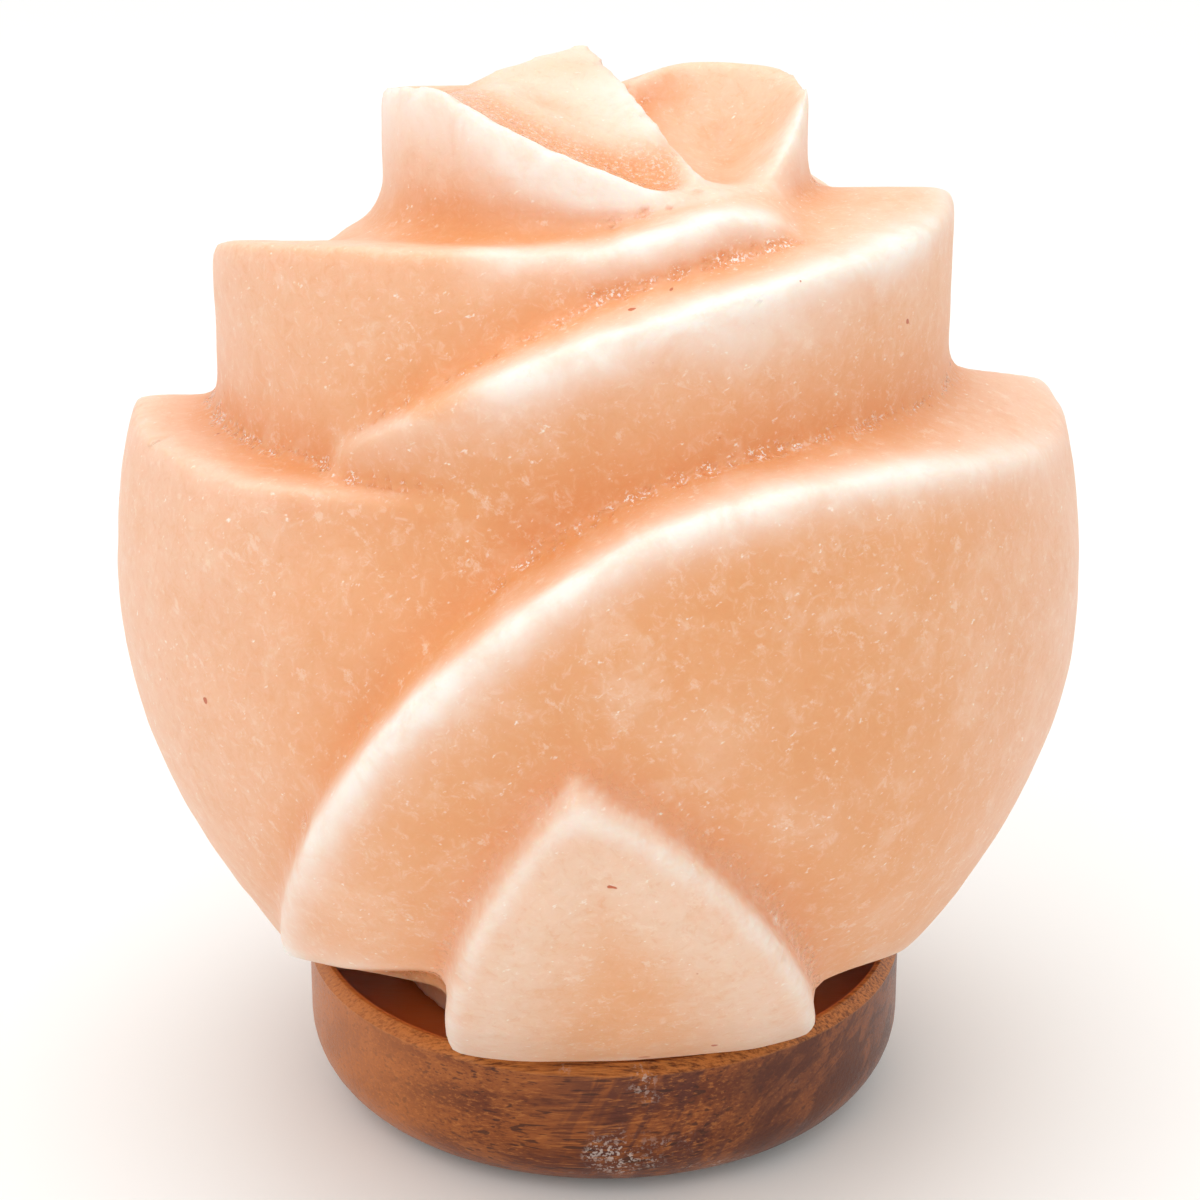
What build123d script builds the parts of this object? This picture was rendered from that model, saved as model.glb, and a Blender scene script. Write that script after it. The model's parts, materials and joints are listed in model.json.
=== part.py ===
"""Salt crystal lamp carved as a rose, standing in a turned wooden base.

The frame is +Z up with its origin on the surface below the lamp, at the middle of the base.
The front petal faces -Y. All sizes are in millimetres.
"""

from build123d import *
import os
from math import cos, radians, sin, sqrt

# ---------- wooden base ----------
PAD_HEIGHT = 2.0
PAD_RADIUS = 4.5
PAD_INSET = 1.5
PAD_COUNT = 4
BASE_RADIUS = 52.0
BASE_THICKNESS = 25.0
SIDE_ROUND_WIDTH = 6.5
SIDE_ROUND_HEIGHT = 11.0
RIM_CHAMFER = 1.7
RIM_FLAT = 0.8
RECESS_DEPTH = 6.0
WEB_THICKNESS = 10.0
CORD_GROOVE_WIDTH = 8.0
CORD_GROOVE_DEPTH = 8.0

# ---------- drilled chamber in the salt ----------
BORE_RADIUS = 22.0
BULB_HEADROOM = 31.1
BORE_CONE = 6.0
DRILL_POINT = 1.0
BASE_HOLE_CLEARANCE = 0.5

# ---------- screws that hold the salt ----------
SCREW_COUNT = 3
POCKET_WALL = 1.65
SCREW_RADIUS = 1.9
SCREW_LENGTH = 30.0
SCREW_HEAD_RADIUS = 3.8
SCREW_HEAD_HEIGHT = 2.4
SCREW_SLOT_WIDTH = 1.0
SCREW_SEAT_DEPTH = 11.0
PLUG_RADIUS = 3.0
PLUG_SPARE = 2.2
PLUG_END_GAP = 0.8
SCREW_CLEARANCE = 0.2
POCKET_CLEARANCE = 0.45

# ---------- carved rose ----------
SALT_EDGE_GAP = 1.0
FOOT_MARGIN = 4.5
FOOT_RISE = 20.0
ROSE_HEIGHT = 156.0

# Outlines of the carving, drawn for a rose of this height. Heights count from its lower edge.
DRAWN_HEIGHT = 156.0
GLOBE_PROFILE = ((53.0, 0), (67.5, 22), (78.5, 48), (81.2, 67), (79.0, 90), (74.0, 108))
GLOBE_REACH = 81.2
FRONT_RIDGE = ((-53.5, 12), (-39, 63), (6, 103), (40, 107.3), (80, 93.5), (90, 86), (98, 72))
LEFT_RIDGE = ((-54, 10), (-38, 60), (-4, 96.5), (36, 100), (90, 103))
BACK_RIDGE = ((-53.5, 11), (-39, 62), (6, 102), (34, 103), (84, 64))
UPPER_FLOOR = 90.0
UPPER_TOP = 147.0
UPPER_FRONT_RIDGE = ((-42, 105), (-7, 126), (62, 133.5))
UPPER_LEFT_RIDGE = ((-52, 96), (0, 123.5), (64, 140))
UPPER_BACK_RIDGE = ((-42, 102), (-7, 124), (20, 130), (36, 122), (66, 90))
INNER_RIDGE = ((-30, 130), (-3, 135.8), (14, 140.3), (22, 140.5), (31, 134.5))

# Planes that trim the petals: (azimuth that it faces, distance from the axis, at this height, how much
# nearer for each millimetre above it).
LEFT_SIDE_TRIM = (-140, 58, 92, 0)
UPPER_LEFT_SIDE_TRIM = (-140, 40, 122, 0)
FRONT_SIDE_TRIM = (-20, 30, 92, 0)
FRONT_PETAL_FALL = (180, 0, 102, 2.2)
UPPER_FRONT_FALL = (180, 0, 133, 2.2)
INNER_FALL = (180, 0, 122, 1.2)
UNDERCUTS = ((-22, 34, 0, -1.7), (44, 41, 0, -1.7), (158, 34, 0, -1.7), (224, 41, 0, -1.7))

# Slanting cones that make a petal recede towards the front: (azimuth where the cone's wall is upright,
# height where it is as wide as the petal's round body, how much narrower for each millimetre above it).
LEFT_CONE = (-80, 40, 0.304)
UPPER_LEFT_CONE = (-85, 102, 0.406)
CONE_STAND_OFF = 0.8

# Petals: (centre of the round body, its reach, ridge line, turn about the axis, planes, cone).
OUTER_PETALS = (
    ((-2.9, -2.5), 82.7, FRONT_RIDGE, 0, (FRONT_PETAL_FALL, LEFT_SIDE_TRIM), None),
    ((-3.5, 1.7), 78.8, LEFT_RIDGE, -90, (), LEFT_CONE),
    ((1.3, 1.3), 79.5, BACK_RIDGE, 150, (FRONT_SIDE_TRIM,), None),
)
UPPER_PETALS = (
    ((-4.8, -2.0), 61.4, UPPER_FRONT_RIDGE, 0, (UPPER_FRONT_FALL, UPPER_LEFT_SIDE_TRIM), None),
    ((-4.7, 1.4), 59.5, UPPER_LEFT_RIDGE, -90, (), UPPER_LEFT_CONE),
    ((-0.7, 1.0), 60.0, UPPER_BACK_RIDGE, 150, (FRONT_SIDE_TRIM,), None),
    ((-1.0, 0.0), 46.4, INNER_RIDGE, 0, (INNER_FALL,), None),
)

BUD_FLOOR = 122.0
BUD_RADIUS = 34.5
BUD_CENTRE_X = -1.5
BUD_OPENING = ((34, 156), (34, 172), (-25, 172), (-25, 156.2), (20, 137.5))
BUD_RIGHT_RIDGE = ((20, 137.5), (27.5, 143.5), (34, 156))
BUD_OPENING_BACK = 8.0
BUD_FALL = (180, 0, 150.5, 3.6)
BUD_COVE_WIDTH = 8.0
BUD_COVE_HEIGHT = 126.0
BUD_COVE_TILT = -13.0
HEART_INSET = 3.0
HEART_LEFT_FACET = ((-6, 6, 156), (9, -25, 144), (-27, -6, 151.5))
HEART_RIGHT_FACET = ((-1.5, 6, 156), (14, -22, 140), (-1.5, 5, 164))
HEART_BACK_FACET = ((-6, 6, 156), (-27, -6, 151.5), (10, 30, 139))

SEPAL_FOOT = 52.0
SEPAL_HEIGHT = 67.0
SEPAL_HOLLOW = 7.2
SEPAL_LEFT = ((-4.5, 66), (-19, 43), (-25.5, 0))
SEPAL_RIGHT = ((35, 0), (27, 35), (-4.5, 66))
FRONT_SEPAL_REACH = 86.3
BACK_SEPAL_REACH = 84.7

# ---------- plate, bracket and clips ----------
SEAT_GAP = 0.2
PLATE_LAP = 2.5
PLATE_THICKNESS = 1.2
PLATE_ROOM = 0.6
BRACKET_THICKNESS = 1.2
EAR_THICKNESS = 1.0
EAR_REACH = 2.5
EAR_HEIGHT = 5.5
CLIP_WIDTH = 9.0
CLIP_THICKNESS = 0.7
CLIP_BULGE_HEIGHT = 18.0
CLIP_TIP_HEIGHT = 32.0
CLIP_TIP_INSET = 3.4
CLIP_SIDE_PLAY = 0.4
CLIP_BEND = 4.0
PIN_INSET = 5.5
PIN_RADIUS = 1.0
PIN_HEIGHT = 3.0
PIN_SPARE = 0.8
EYE_RADIUS = 2.0
WALL_GAP = 0.3
RUNNING_CLEARANCE = 0.05

# ---------- lamp holder ----------
NIPPLE_RADIUS = 5.0
NIPPLE_BORE = 3.8
NIPPLE_TAIL = 3.8
NIPPLE_SPARE = 1.5
NUT_ACROSS_FLATS = 14.0
NUT_HEIGHT = 2.8
THREAD_FIT = 0.02
HOLDER_RADIUS = 13.5
HOLDER_WALL = 1.45
NECK_RADIUS = 7.5
NECK_HEIGHT = 2.5
CAP_HEIGHT = 13.0
CAP_FLARE_RADIUS = 11.0
CAP_FLARE_HEIGHT = 5.0
CAP_SHOULDER = 3.0
CAP_FLOOR = 5.5
CAP_FLOOR_RADIUS = 9.85
SKIRT_HEIGHT = 26.0
LIP_RADIUS = 9.2
LIP_THICKNESS = 1.2
INSERT_THICKNESS = 6.0
INSERT_FLANGE = 1.5
COLLAR_HEIGHT = 5.0
COLLAR_WALL = 1.7
LINER_WALL = 0.55
LINER_LENGTH = 15.5
TERMINAL_X = 8.5
TERMINAL_RADIUS = 1.5
TERMINAL_HEAD = 2.2
TERMINAL_HEAD_HEIGHT = 1.6
TERMINAL_COVER = 1.0
TERMINAL_END_GAP = 1.0

# ---------- bulb ----------
BULB_CAP_RADIUS = 6.95
BULB_CAP_WALL = 0.4
BULB_CAP_LENGTH = 18.8
BULB_CAP_MOUTH = 4.6
BULB_CAP_TAPER = 1.6
BULB_CAP_RIM = 4.0
BULB_CAP_STEP = 1.5
TIP_HEIGHT = 1.4
TIP_RADIUS = 2.4
BEAD_HEIGHT = 2.0
BEAD_TIP_RADIUS = 3.4
BEAD_PLUG_HEIGHT = 1.4
TIP_GAP = 0.3
TONGUE_RISE = 3.2
TONGUE_THICKNESS = 0.5
TONGUE_WIDTH = 4.0
TONGUE_FOOT_X = (-6.0, -2.5)
TONGUE_PAD_X = (1.0, 3.0)
TONGUE_BEND = 1.0
GLASS_RADIUS = 13.0
GLASS_NECK = 7.2
GLASS_NECK_LENGTH = 4.0
GLASS_WALL = 0.8
GLASS_LENGTH = 36.5
GLASS_SEAT = 2.3
STEM_RADIUS = 2.2
STEM_LENGTH = 16.0
STEM_FLARE_HEIGHT = 6.0
STEM_HOLLOW = 2.0
STEM_LIP = 1.0
WIRE_RADIUS = 0.35
WIRE_RISE = 7.0
FILAMENT_SPAN = 10.0
FILAMENT_RISE = 3.0

# ---------- places worked out from the sizes above ----------
WOOD_BOTTOM = PAD_HEIGHT
WOOD_TOP = WOOD_BOTTOM + BASE_THICKNESS
RECESS_FLOOR = WOOD_TOP - RECESS_DEPTH
WEB_BOTTOM = RECESS_FLOOR - WEB_THICKNESS
UNDERSIDE_RADIUS = BASE_RADIUS - SIDE_ROUND_WIDTH
PAD_CIRCLE = UNDERSIDE_RADIUS - PAD_INSET - PAD_RADIUS
RECESS_RADIUS = BASE_RADIUS - RIM_CHAMFER - RIM_FLAT
SALT_EDGE = WOOD_TOP + SALT_EDGE_GAP
BASE_HOLE_RADIUS = BORE_RADIUS + BASE_HOLE_CLEARANCE
PLATE_RADIUS = BASE_HOLE_RADIUS + PLATE_LAP
POCKET_RADIUS = SCREW_HEAD_RADIUS + POCKET_CLEARANCE
SCREW_CIRCLE = PLATE_RADIUS + PLATE_ROOM + POCKET_WALL + POCKET_RADIUS
SCREW_SEAT = WOOD_BOTTOM + SCREW_SEAT_DEPTH
SCREW_TOP = SCREW_SEAT + SCREW_LENGTH
FOOT_RADIUS = SCREW_CIRCLE + FOOT_MARGIN
PLATE_TOP = WEB_BOTTOM - SEAT_GAP
PLATE_BOTTOM = PLATE_TOP - PLATE_THICKNESS
BRACKET_TOP = PLATE_TOP + BRACKET_THICKNESS
PIN_X = BORE_RADIUS - PIN_INSET
CLIP_TIP_X = BORE_RADIUS - CLIP_TIP_INSET
PIN_Z = BRACKET_TOP + PIN_HEIGHT
CAP_TOP = BRACKET_TOP + CAP_HEIGHT
INSERT_TOP = CAP_TOP + INSERT_THICKNESS
SKIRT_TOP = CAP_TOP + SKIRT_HEIGHT
TONGUE_TOP = INSERT_TOP + TONGUE_RISE
TIP_BOTTOM = TONGUE_TOP + TIP_GAP
BEAD_BOTTOM = TIP_BOTTOM + TIP_HEIGHT
BULB_CAP_BOTTOM = BEAD_BOTTOM + BEAD_HEIGHT
BULB_CAP_TOP = BULB_CAP_BOTTOM + BULB_CAP_LENGTH
GLASS_BOTTOM = BULB_CAP_TOP - GLASS_SEAT
WIRE_TOP = GLASS_BOTTOM + STEM_LENGTH + WIRE_RISE
BORE_TOP = GLASS_BOTTOM + GLASS_LENGTH + BULB_HEADROOM
LINER_BORE = BULB_CAP_RADIUS + RUNNING_CLEARANCE
LINER_RADIUS = LINER_BORE + LINER_WALL

ABOVE_ALL = 400.0


def from_floor(radius, low, high):
    """Round post on the lamp's axis between two heights."""
    return Pos(0, 0, low) * Cylinder(radius, high - low, align=(Align.CENTER, Align.CENTER, Align.MIN))


def tube(outer, inner, low, high):
    """Ring on the lamp's axis between two heights."""
    return from_floor(outer, low, high) - from_floor(inner, low, high)


def turned(*outline):
    """Solid of revolution about the lamp's axis from (radius, height) corners."""
    return revolve(make_face(Plane.XZ * Polyline(*outline, close=True)), Axis.Z)


def on_circle(radius, count, first):
    """Points evenly spaced on a circle about the axis, the first at an angle in degrees from +X."""
    angles = [radians(first + 360 * i / count) for i in range(count)]
    return [(radius * cos(a), radius * sin(a)) for a in angles]


def toward(azimuth):
    """Level unit direction at an azimuth in degrees, 0 to the front (-Y) and 90 to the right (+X)."""
    return Vector(sin(radians(azimuth)), -cos(radians(azimuth)), 0)


def screw_points():
    return on_circle(SCREW_CIRCLE, SCREW_COUNT, -90)


# ---------- wooden base and what fastens it ----------
def wood_base():
    side_start = (BASE_RADIUS, WOOD_BOTTOM + SIDE_ROUND_HEIGHT)
    underside = (UNDERSIDE_RADIUS, WOOD_BOTTOM)
    outline = (
        Polyline(
            underside,
            (BASE_HOLE_RADIUS, WOOD_BOTTOM),
            (BASE_HOLE_RADIUS, RECESS_FLOOR),
            (RECESS_RADIUS, RECESS_FLOOR),
            (RECESS_RADIUS, WOOD_TOP),
            (RECESS_RADIUS + RIM_FLAT, WOOD_TOP),
            (BASE_RADIUS, WOOD_TOP - RIM_CHAMFER),
            side_start,
        )
        + TangentArc(side_start, underside, tangent=(0, -1))
    )
    body = revolve(make_face(Plane.XZ * outline), Axis.Z)
    body -= from_floor(PLATE_RADIUS + PLATE_ROOM, WOOD_BOTTOM, WEB_BOTTOM)
    groove = Box(
        CORD_GROOVE_WIDTH,
        BASE_RADIUS,
        CORD_GROOVE_DEPTH,
        align=(Align.CENTER, Align.MIN, Align.MIN),
    )
    body -= Pos(0, BORE_RADIUS / 2, WOOD_BOTTOM) * groove
    for x, y in screw_points():
        body -= Pos(x, y, 0) * from_floor(POCKET_RADIUS, WOOD_BOTTOM, SCREW_SEAT)
        body -= Pos(x, y, 0) * from_floor(SCREW_RADIUS + SCREW_CLEARANCE, SCREW_SEAT, RECESS_FLOOR)
    return body


def rubber_feet():
    pad = fillet(from_floor(PAD_RADIUS, 0, PAD_HEIGHT).edges().group_by(Axis.Z)[0], PAD_HEIGHT / 4)
    return [Pos(x, y, 0) * pad for x, y in on_circle(PAD_CIRCLE, PAD_COUNT, 45)]


def base_screws():
    head_low = SCREW_SEAT - SCREW_HEAD_HEIGHT
    head = from_floor(SCREW_HEAD_RADIUS, head_low, SCREW_SEAT)
    head = fillet(head.edges().group_by(Axis.Z)[0], SCREW_HEAD_HEIGHT / 3)
    slot = Pos(0, 0, head_low) * Box(2 * SCREW_HEAD_RADIUS, SCREW_SLOT_WIDTH, SCREW_HEAD_HEIGHT)
    shank = chamfer(
        from_floor(SCREW_RADIUS, SCREW_SEAT, SCREW_TOP).edges().group_by(Axis.Z)[-1],
        SCREW_RADIUS * 1.4,
        SCREW_RADIUS * 0.8,
    )
    screw = head - slot + shank
    return [Pos(x, y, 0) * screw for x, y in screw_points()]


def wall_plugs():
    low = RECESS_FLOOR + SEAT_GAP
    plug = tube(PLUG_RADIUS - RUNNING_CLEARANCE, SCREW_RADIUS, low, SCREW_TOP + PLUG_SPARE)
    return [Pos(x, y, 0) * plug for x, y in screw_points()]


# ---------- carved rose ----------
def block_under(ridge):
    """Block seen from the front as the area under a ridge line, running from front to back."""
    first = ridge @ 0
    last = ridge @ 1
    floor = Polyline((last.X, last.Y), (last.X, 0), (first.X, 0), (first.X, first.Y))
    return extrude(make_face(Plane.XZ * (ridge + floor)), ABOVE_ALL / 2, both=True)


def below_slope(azimuth, distance, height, slope):
    """Everything inside a plane that faces an azimuth, is at a distance from the axis at a height,
    and comes nearer to the axis by the slope for each millimetre above that height."""
    out = toward(azimuth)
    normal = Vector(out.X, out.Y, slope)
    size = 2 * ABOVE_ALL
    plane = Plane(origin=out * distance + Vector(0, 0, height), z_dir=normal)
    return plane * Box(size, size, size, align=(Align.CENTER, Align.CENTER, Align.MAX))


def below_plane(corners):
    """Everything under the plane through three points."""
    first, second, third = (Vector(*corner) for corner in corners)
    normal = (second - first).cross(third - first)
    plane = Plane(origin=first, z_dir=normal if normal.Z > 0 else -normal)
    return plane * Box(ABOVE_ALL, ABOVE_ALL, ABOVE_ALL, align=(Align.CENTER, Align.CENTER, Align.MAX))


def globe(reach):
    """Round body that the outer petals are cut from."""
    points = [(radius * reach / GLOBE_REACH, height) for radius, height in GLOBE_PROFILE]
    low = points[0]
    top = points[-1]
    outline = Spline(*points) + Polyline(top, (0, top[1]), (0, low[1]), low)
    return revolve(make_face(Plane.XZ * outline), Axis.Z)


def upper_post(reach):
    """Round body that the upper petals are cut from."""
    return from_floor(reach, UPPER_FLOOR, UPPER_TOP)


def ridge_line(corners):
    """Ridge line of a petal seen from outside: arcs end to end, each through its middle corner."""
    line = ThreePointArc(*corners[:3])
    for i in range(2, len(corners) - 2, 2):
        line += ThreePointArc(*corners[i : i + 3])
    return line


def slanting_cone(reach, azimuth, height, narrowing):
    """Cone whose wall is upright at an azimuth, just outside a reach from its round body's axis, and
    leans in more and more towards the other side."""
    circles = []
    for level in (0, DRAWN_HEIGHT):
        radius = reach + CONE_STAND_OFF + narrowing * (height - level)
        centre = toward(azimuth) * (reach + CONE_STAND_OFF - radius)
        circles.append(Plane(origin=(centre.X, centre.Y, level)) * Circle(radius))
    return loft(circles, ruled=True)


def petals(body, rows):
    """Petals cut from a round body, each under its own ridge line, which is turned round the lamp."""
    made = []
    for (x, y), reach, ridge, turn, trims, cone in rows:
        leaf = body(reach)
        if cone:
            leaf &= slanting_cone(reach, *cone)
        leaf = Pos(x, y, 0) * leaf & (Rot(0, 0, turn) * block_under(ridge_line(ridge)))
        for trim in trims:
            leaf &= below_slope(*trim)
        made.append(leaf)
    return made


def bud():
    """Closed petals at the middle, open to the front, with the heart rising out of them."""
    place = Pos(BUD_CENTRE_X, 0, 0)
    cup = place * from_floor(BUD_RADIUS, BUD_FLOOR, DRAWN_HEIGHT) & below_slope(*BUD_FALL)
    opening = make_face(Plane.XZ * (Polyline(*BUD_OPENING) + ThreePointArc(*BUD_RIGHT_RIDGE)))
    cup -= Pos(0, BUD_OPENING_BACK, 0) * extrude(opening, ABOVE_ALL, dir=(0, -1, 0))
    heart = place * from_floor(BUD_RADIUS - HEART_INSET, BUD_FLOOR, DRAWN_HEIGHT)
    for facet in (HEART_LEFT_FACET, HEART_RIGHT_FACET, HEART_BACK_FACET):
        heart &= below_plane(facet)
    cove = turned(
        (0, -2 * BUD_COVE_WIDTH),
        (BUD_RADIUS + BUD_COVE_WIDTH, -2 * BUD_COVE_WIDTH),
        (BUD_RADIUS + BUD_COVE_WIDTH, 0),
        (BUD_RADIUS + BUD_COVE_WIDTH / 3, BUD_COVE_WIDTH / 3),
        (BUD_RADIUS, BUD_COVE_WIDTH),
        (0, BUD_COVE_WIDTH),
    )
    return cup + heart + place * Pos(0, 0, BUD_COVE_HEIGHT) * Rot(BUD_COVE_TILT, 0, 0) * cove


def sepal(reach):
    """Pointed leaf at the foot of the rose, standing proud of its petal, up to a reach at its tip."""
    foot = (SEPAL_FOOT, 0)
    tip = (reach, SEPAL_HEIGHT)
    profile = ThreePointArc(foot, (reach - SEPAL_HOLLOW, SEPAL_HEIGHT / 2), tip)
    shell = revolve(make_face(Plane.XZ * (profile + Polyline(tip, (0, SEPAL_HEIGHT), (0, 0), foot))), Axis.Z)
    outline = ThreePointArc(*SEPAL_LEFT) + Line(SEPAL_LEFT[-1], SEPAL_RIGHT[0]) + ThreePointArc(*SEPAL_RIGHT)
    return shell & extrude(make_face(Plane.XZ * outline), ABOVE_ALL, dir=(0, -1, 0))


def carving():
    """The rose as it is drawn, with its lower edge at height 0 and no foot or holes."""
    rose = Part() + petals(globe, OUTER_PETALS)
    for undercut in UNDERCUTS:
        rose &= below_slope(*undercut)
    rose += petals(upper_post, UPPER_PETALS)
    return rose + [bud(), sepal(FRONT_SEPAL_REACH), Rot(0, 0, 180) * sepal(BACK_SEPAL_REACH)]


def salt_rose():
    rose = Pos(0, 0, SALT_EDGE) * scale(carving(), ROSE_HEIGHT / DRAWN_HEIGHT)
    rose += from_floor(FOOT_RADIUS, RECESS_FLOOR, SALT_EDGE + FOOT_RISE)
    rose -= from_floor(BORE_RADIUS, RECESS_FLOOR, BORE_TOP)
    cone = Cone(BORE_RADIUS, DRILL_POINT, BORE_CONE, align=(Align.CENTER, Align.CENTER, Align.MIN))
    rose -= Pos(0, 0, BORE_TOP) * cone
    for x, y in screw_points():
        rose -= Pos(x, y, 0) * from_floor(PLUG_RADIUS, RECESS_FLOOR, SCREW_TOP + PLUG_SPARE + PLUG_END_GAP)
    return rose


# ---------- plate, bracket and clips ----------
def socket_plate():
    return tube(PLATE_RADIUS, NIPPLE_RADIUS + THREAD_FIT, PLATE_BOTTOM, PLATE_TOP)


def clip_bracket():
    inside = CLIP_WIDTH / 2 + CLIP_SIDE_PLAY
    width = 2 * (inside + EAR_THICKNESS)
    length = 2 * (PIN_X + EAR_REACH)
    strip = Pos(0, 0, PLATE_TOP) * Box(
        length, width, BRACKET_THICKNESS, align=(Align.CENTER, Align.CENTER, Align.MIN)
    )
    ear = Box(2 * EAR_REACH, EAR_THICKNESS, EAR_HEIGHT, align=(Align.CENTER, Align.CENTER, Align.MIN))
    for side in (-1, 1):
        for flank in (-1, 1):
            place = Pos(side * PIN_X, flank * (inside + EAR_THICKNESS / 2), BRACKET_TOP)
            strip += place * ear
        strip -= Pos(side * PIN_X, 0, PIN_Z) * Rot(90, 0, 0) * Cylinder(PIN_RADIUS, 2 * width)
    return strip - from_floor(NIPPLE_RADIUS + THREAD_FIT, PLATE_TOP, BRACKET_TOP)


def clip_pins():
    length = CLIP_WIDTH + 2 * CLIP_SIDE_PLAY + 2 * EAR_THICKNESS + PIN_SPARE
    pin = Rot(90, 0, 0) * Cylinder(PIN_RADIUS, length)
    return [Pos(side * PIN_X, 0, PIN_Z) * pin for side in (-1, 1)]


def spring_clip():
    """Right-hand wing: a rolled eye and a strip that bows out to the wall of the bore."""
    bulge = sqrt(BORE_RADIUS**2 - (CLIP_WIDTH / 2) ** 2) - WALL_GAP - CLIP_THICKNESS / 2
    path = FilletPolyline(
        (PIN_X + EYE_RADIUS - CLIP_THICKNESS / 2, PIN_Z),
        (bulge, PIN_Z + CLIP_BULGE_HEIGHT),
        (CLIP_TIP_X, PIN_Z + CLIP_TIP_HEIGHT),
        radius=CLIP_BEND,
    )
    strip = extrude(Plane.XZ * trace(path, CLIP_THICKNESS), CLIP_WIDTH / 2, both=True)
    place = Pos(PIN_X, 0, PIN_Z) * Rot(90, 0, 0)
    eye = place * Cylinder(EYE_RADIUS, CLIP_WIDTH)
    return strip + eye - place * Cylinder(PIN_RADIUS + RUNNING_CLEARANCE, 2 * CLIP_WIDTH)


# ---------- lamp holder ----------
def nipple():
    return tube(NIPPLE_RADIUS, NIPPLE_BORE, PLATE_BOTTOM - NIPPLE_TAIL, BRACKET_TOP + CAP_FLOOR + NIPPLE_SPARE)


def nipple_nut():
    nut = extrude(RegularPolygon(NUT_ACROSS_FLATS / 2, 6, major_radius=False), NUT_HEIGHT)
    nut = Pos(0, 0, PLATE_BOTTOM - NUT_HEIGHT) * nut
    return nut - from_floor(NIPPLE_RADIUS + THREAD_FIT, 0, PLATE_BOTTOM)


def holder_cap():
    inside = HOLDER_RADIUS - HOLDER_WALL
    hole = NIPPLE_RADIUS + THREAD_FIT
    floor = BRACKET_TOP + CAP_FLOOR
    shoulder = CAP_TOP - CAP_SHOULDER
    return turned(
        (hole, BRACKET_TOP),
        (NECK_RADIUS, BRACKET_TOP),
        (NECK_RADIUS, BRACKET_TOP + NECK_HEIGHT),
        (CAP_FLARE_RADIUS, BRACKET_TOP + CAP_FLARE_HEIGHT),
        (HOLDER_RADIUS, shoulder),
        (HOLDER_RADIUS, CAP_TOP),
        (inside, CAP_TOP),
        (inside, shoulder),
        (CAP_FLOOR_RADIUS, floor),
        (hole, floor),
    )


def holder_skirt():
    inside = HOLDER_RADIUS - HOLDER_WALL
    seat = HOLDER_RADIUS - HOLDER_WALL / 2
    return turned(
        (seat, CAP_TOP),
        (HOLDER_RADIUS, CAP_TOP),
        (HOLDER_RADIUS, SKIRT_TOP),
        (LIP_RADIUS, SKIRT_TOP),
        (LIP_RADIUS, SKIRT_TOP - LIP_THICKNESS),
        (inside, SKIRT_TOP - LIP_THICKNESS),
        (inside, CAP_TOP + INSERT_FLANGE),
        (seat, CAP_TOP + INSERT_FLANGE),
    )


def contact_insert():
    flange = HOLDER_RADIUS - HOLDER_WALL / 2 - RUNNING_CLEARANCE
    inside = HOLDER_RADIUS - HOLDER_WALL - RUNNING_CLEARANCE
    insert = from_floor(flange, CAP_TOP, CAP_TOP + INSERT_FLANGE) + from_floor(inside, CAP_TOP, INSERT_TOP)
    collar = LINER_RADIUS + THREAD_FIT
    insert += tube(collar + COLLAR_WALL, collar, INSERT_TOP, INSERT_TOP + COLLAR_HEIGHT)
    for side in (-1, 1):
        insert -= Pos(side * TERMINAL_X, 0, 0) * from_floor(
            TERMINAL_RADIUS, CAP_TOP, INSERT_TOP - TERMINAL_COVER
        )
    return insert


def thread_shell():
    return tube(LINER_RADIUS, LINER_BORE, INSERT_TOP, INSERT_TOP + LINER_LENGTH)


def contact_tongue():
    half = TONGUE_THICKNESS / 2
    path = FilletPolyline(
        *((x, INSERT_TOP + half) for x in TONGUE_FOOT_X),
        *((x, TONGUE_TOP - half) for x in TONGUE_PAD_X),
        radius=TONGUE_BEND,
    )
    return extrude(Plane.XZ * trace(path, TONGUE_THICKNESS), TONGUE_WIDTH / 2, both=True)


def terminal_screws():
    head = from_floor(TERMINAL_HEAD, CAP_TOP - TERMINAL_HEAD_HEIGHT, CAP_TOP)
    screw = head + from_floor(TERMINAL_RADIUS, CAP_TOP, INSERT_TOP - TERMINAL_COVER - TERMINAL_END_GAP)
    return [Pos(side * TERMINAL_X, 0, 0) * screw for side in (-1, 1)]


# ---------- bulb ----------
def bulb_cap():
    wall = BULB_CAP_WALL
    waist = BULB_CAP_TOP - BULB_CAP_RIM
    neck = GLASS_NECK + RUNNING_CLEARANCE
    return turned(
        (BULB_CAP_MOUTH, BULB_CAP_BOTTOM),
        (BULB_CAP_RADIUS, BULB_CAP_BOTTOM + BULB_CAP_TAPER),
        (BULB_CAP_RADIUS, waist),
        (neck + wall, waist + BULB_CAP_STEP),
        (neck + wall, BULB_CAP_TOP),
        (neck, BULB_CAP_TOP),
        (neck, waist + BULB_CAP_STEP + wall / 4),
        (BULB_CAP_RADIUS - wall, waist + wall / 4),
        (BULB_CAP_RADIUS - wall, BULB_CAP_BOTTOM + BULB_CAP_TAPER + wall / 4),
        (BULB_CAP_MOUTH - wall, BULB_CAP_BOTTOM),
    )


def cap_insulator():
    widest = BULB_CAP_MOUTH - RUNNING_CLEARANCE
    plug = widest - BULB_CAP_WALL
    return turned(
        (0, BEAD_BOTTOM),
        (BEAD_TIP_RADIUS, BEAD_BOTTOM),
        (widest, BULB_CAP_BOTTOM),
        (plug, BULB_CAP_BOTTOM),
        (plug, BULB_CAP_BOTTOM + BEAD_PLUG_HEIGHT),
        (0, BULB_CAP_BOTTOM + BEAD_PLUG_HEIGHT),
    )


def tip_contact():
    tip = from_floor(TIP_RADIUS, TIP_BOTTOM, BEAD_BOTTOM)
    return fillet(tip.edges().group_by(Axis.Z)[0], TIP_HEIGHT * 0.6)


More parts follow.
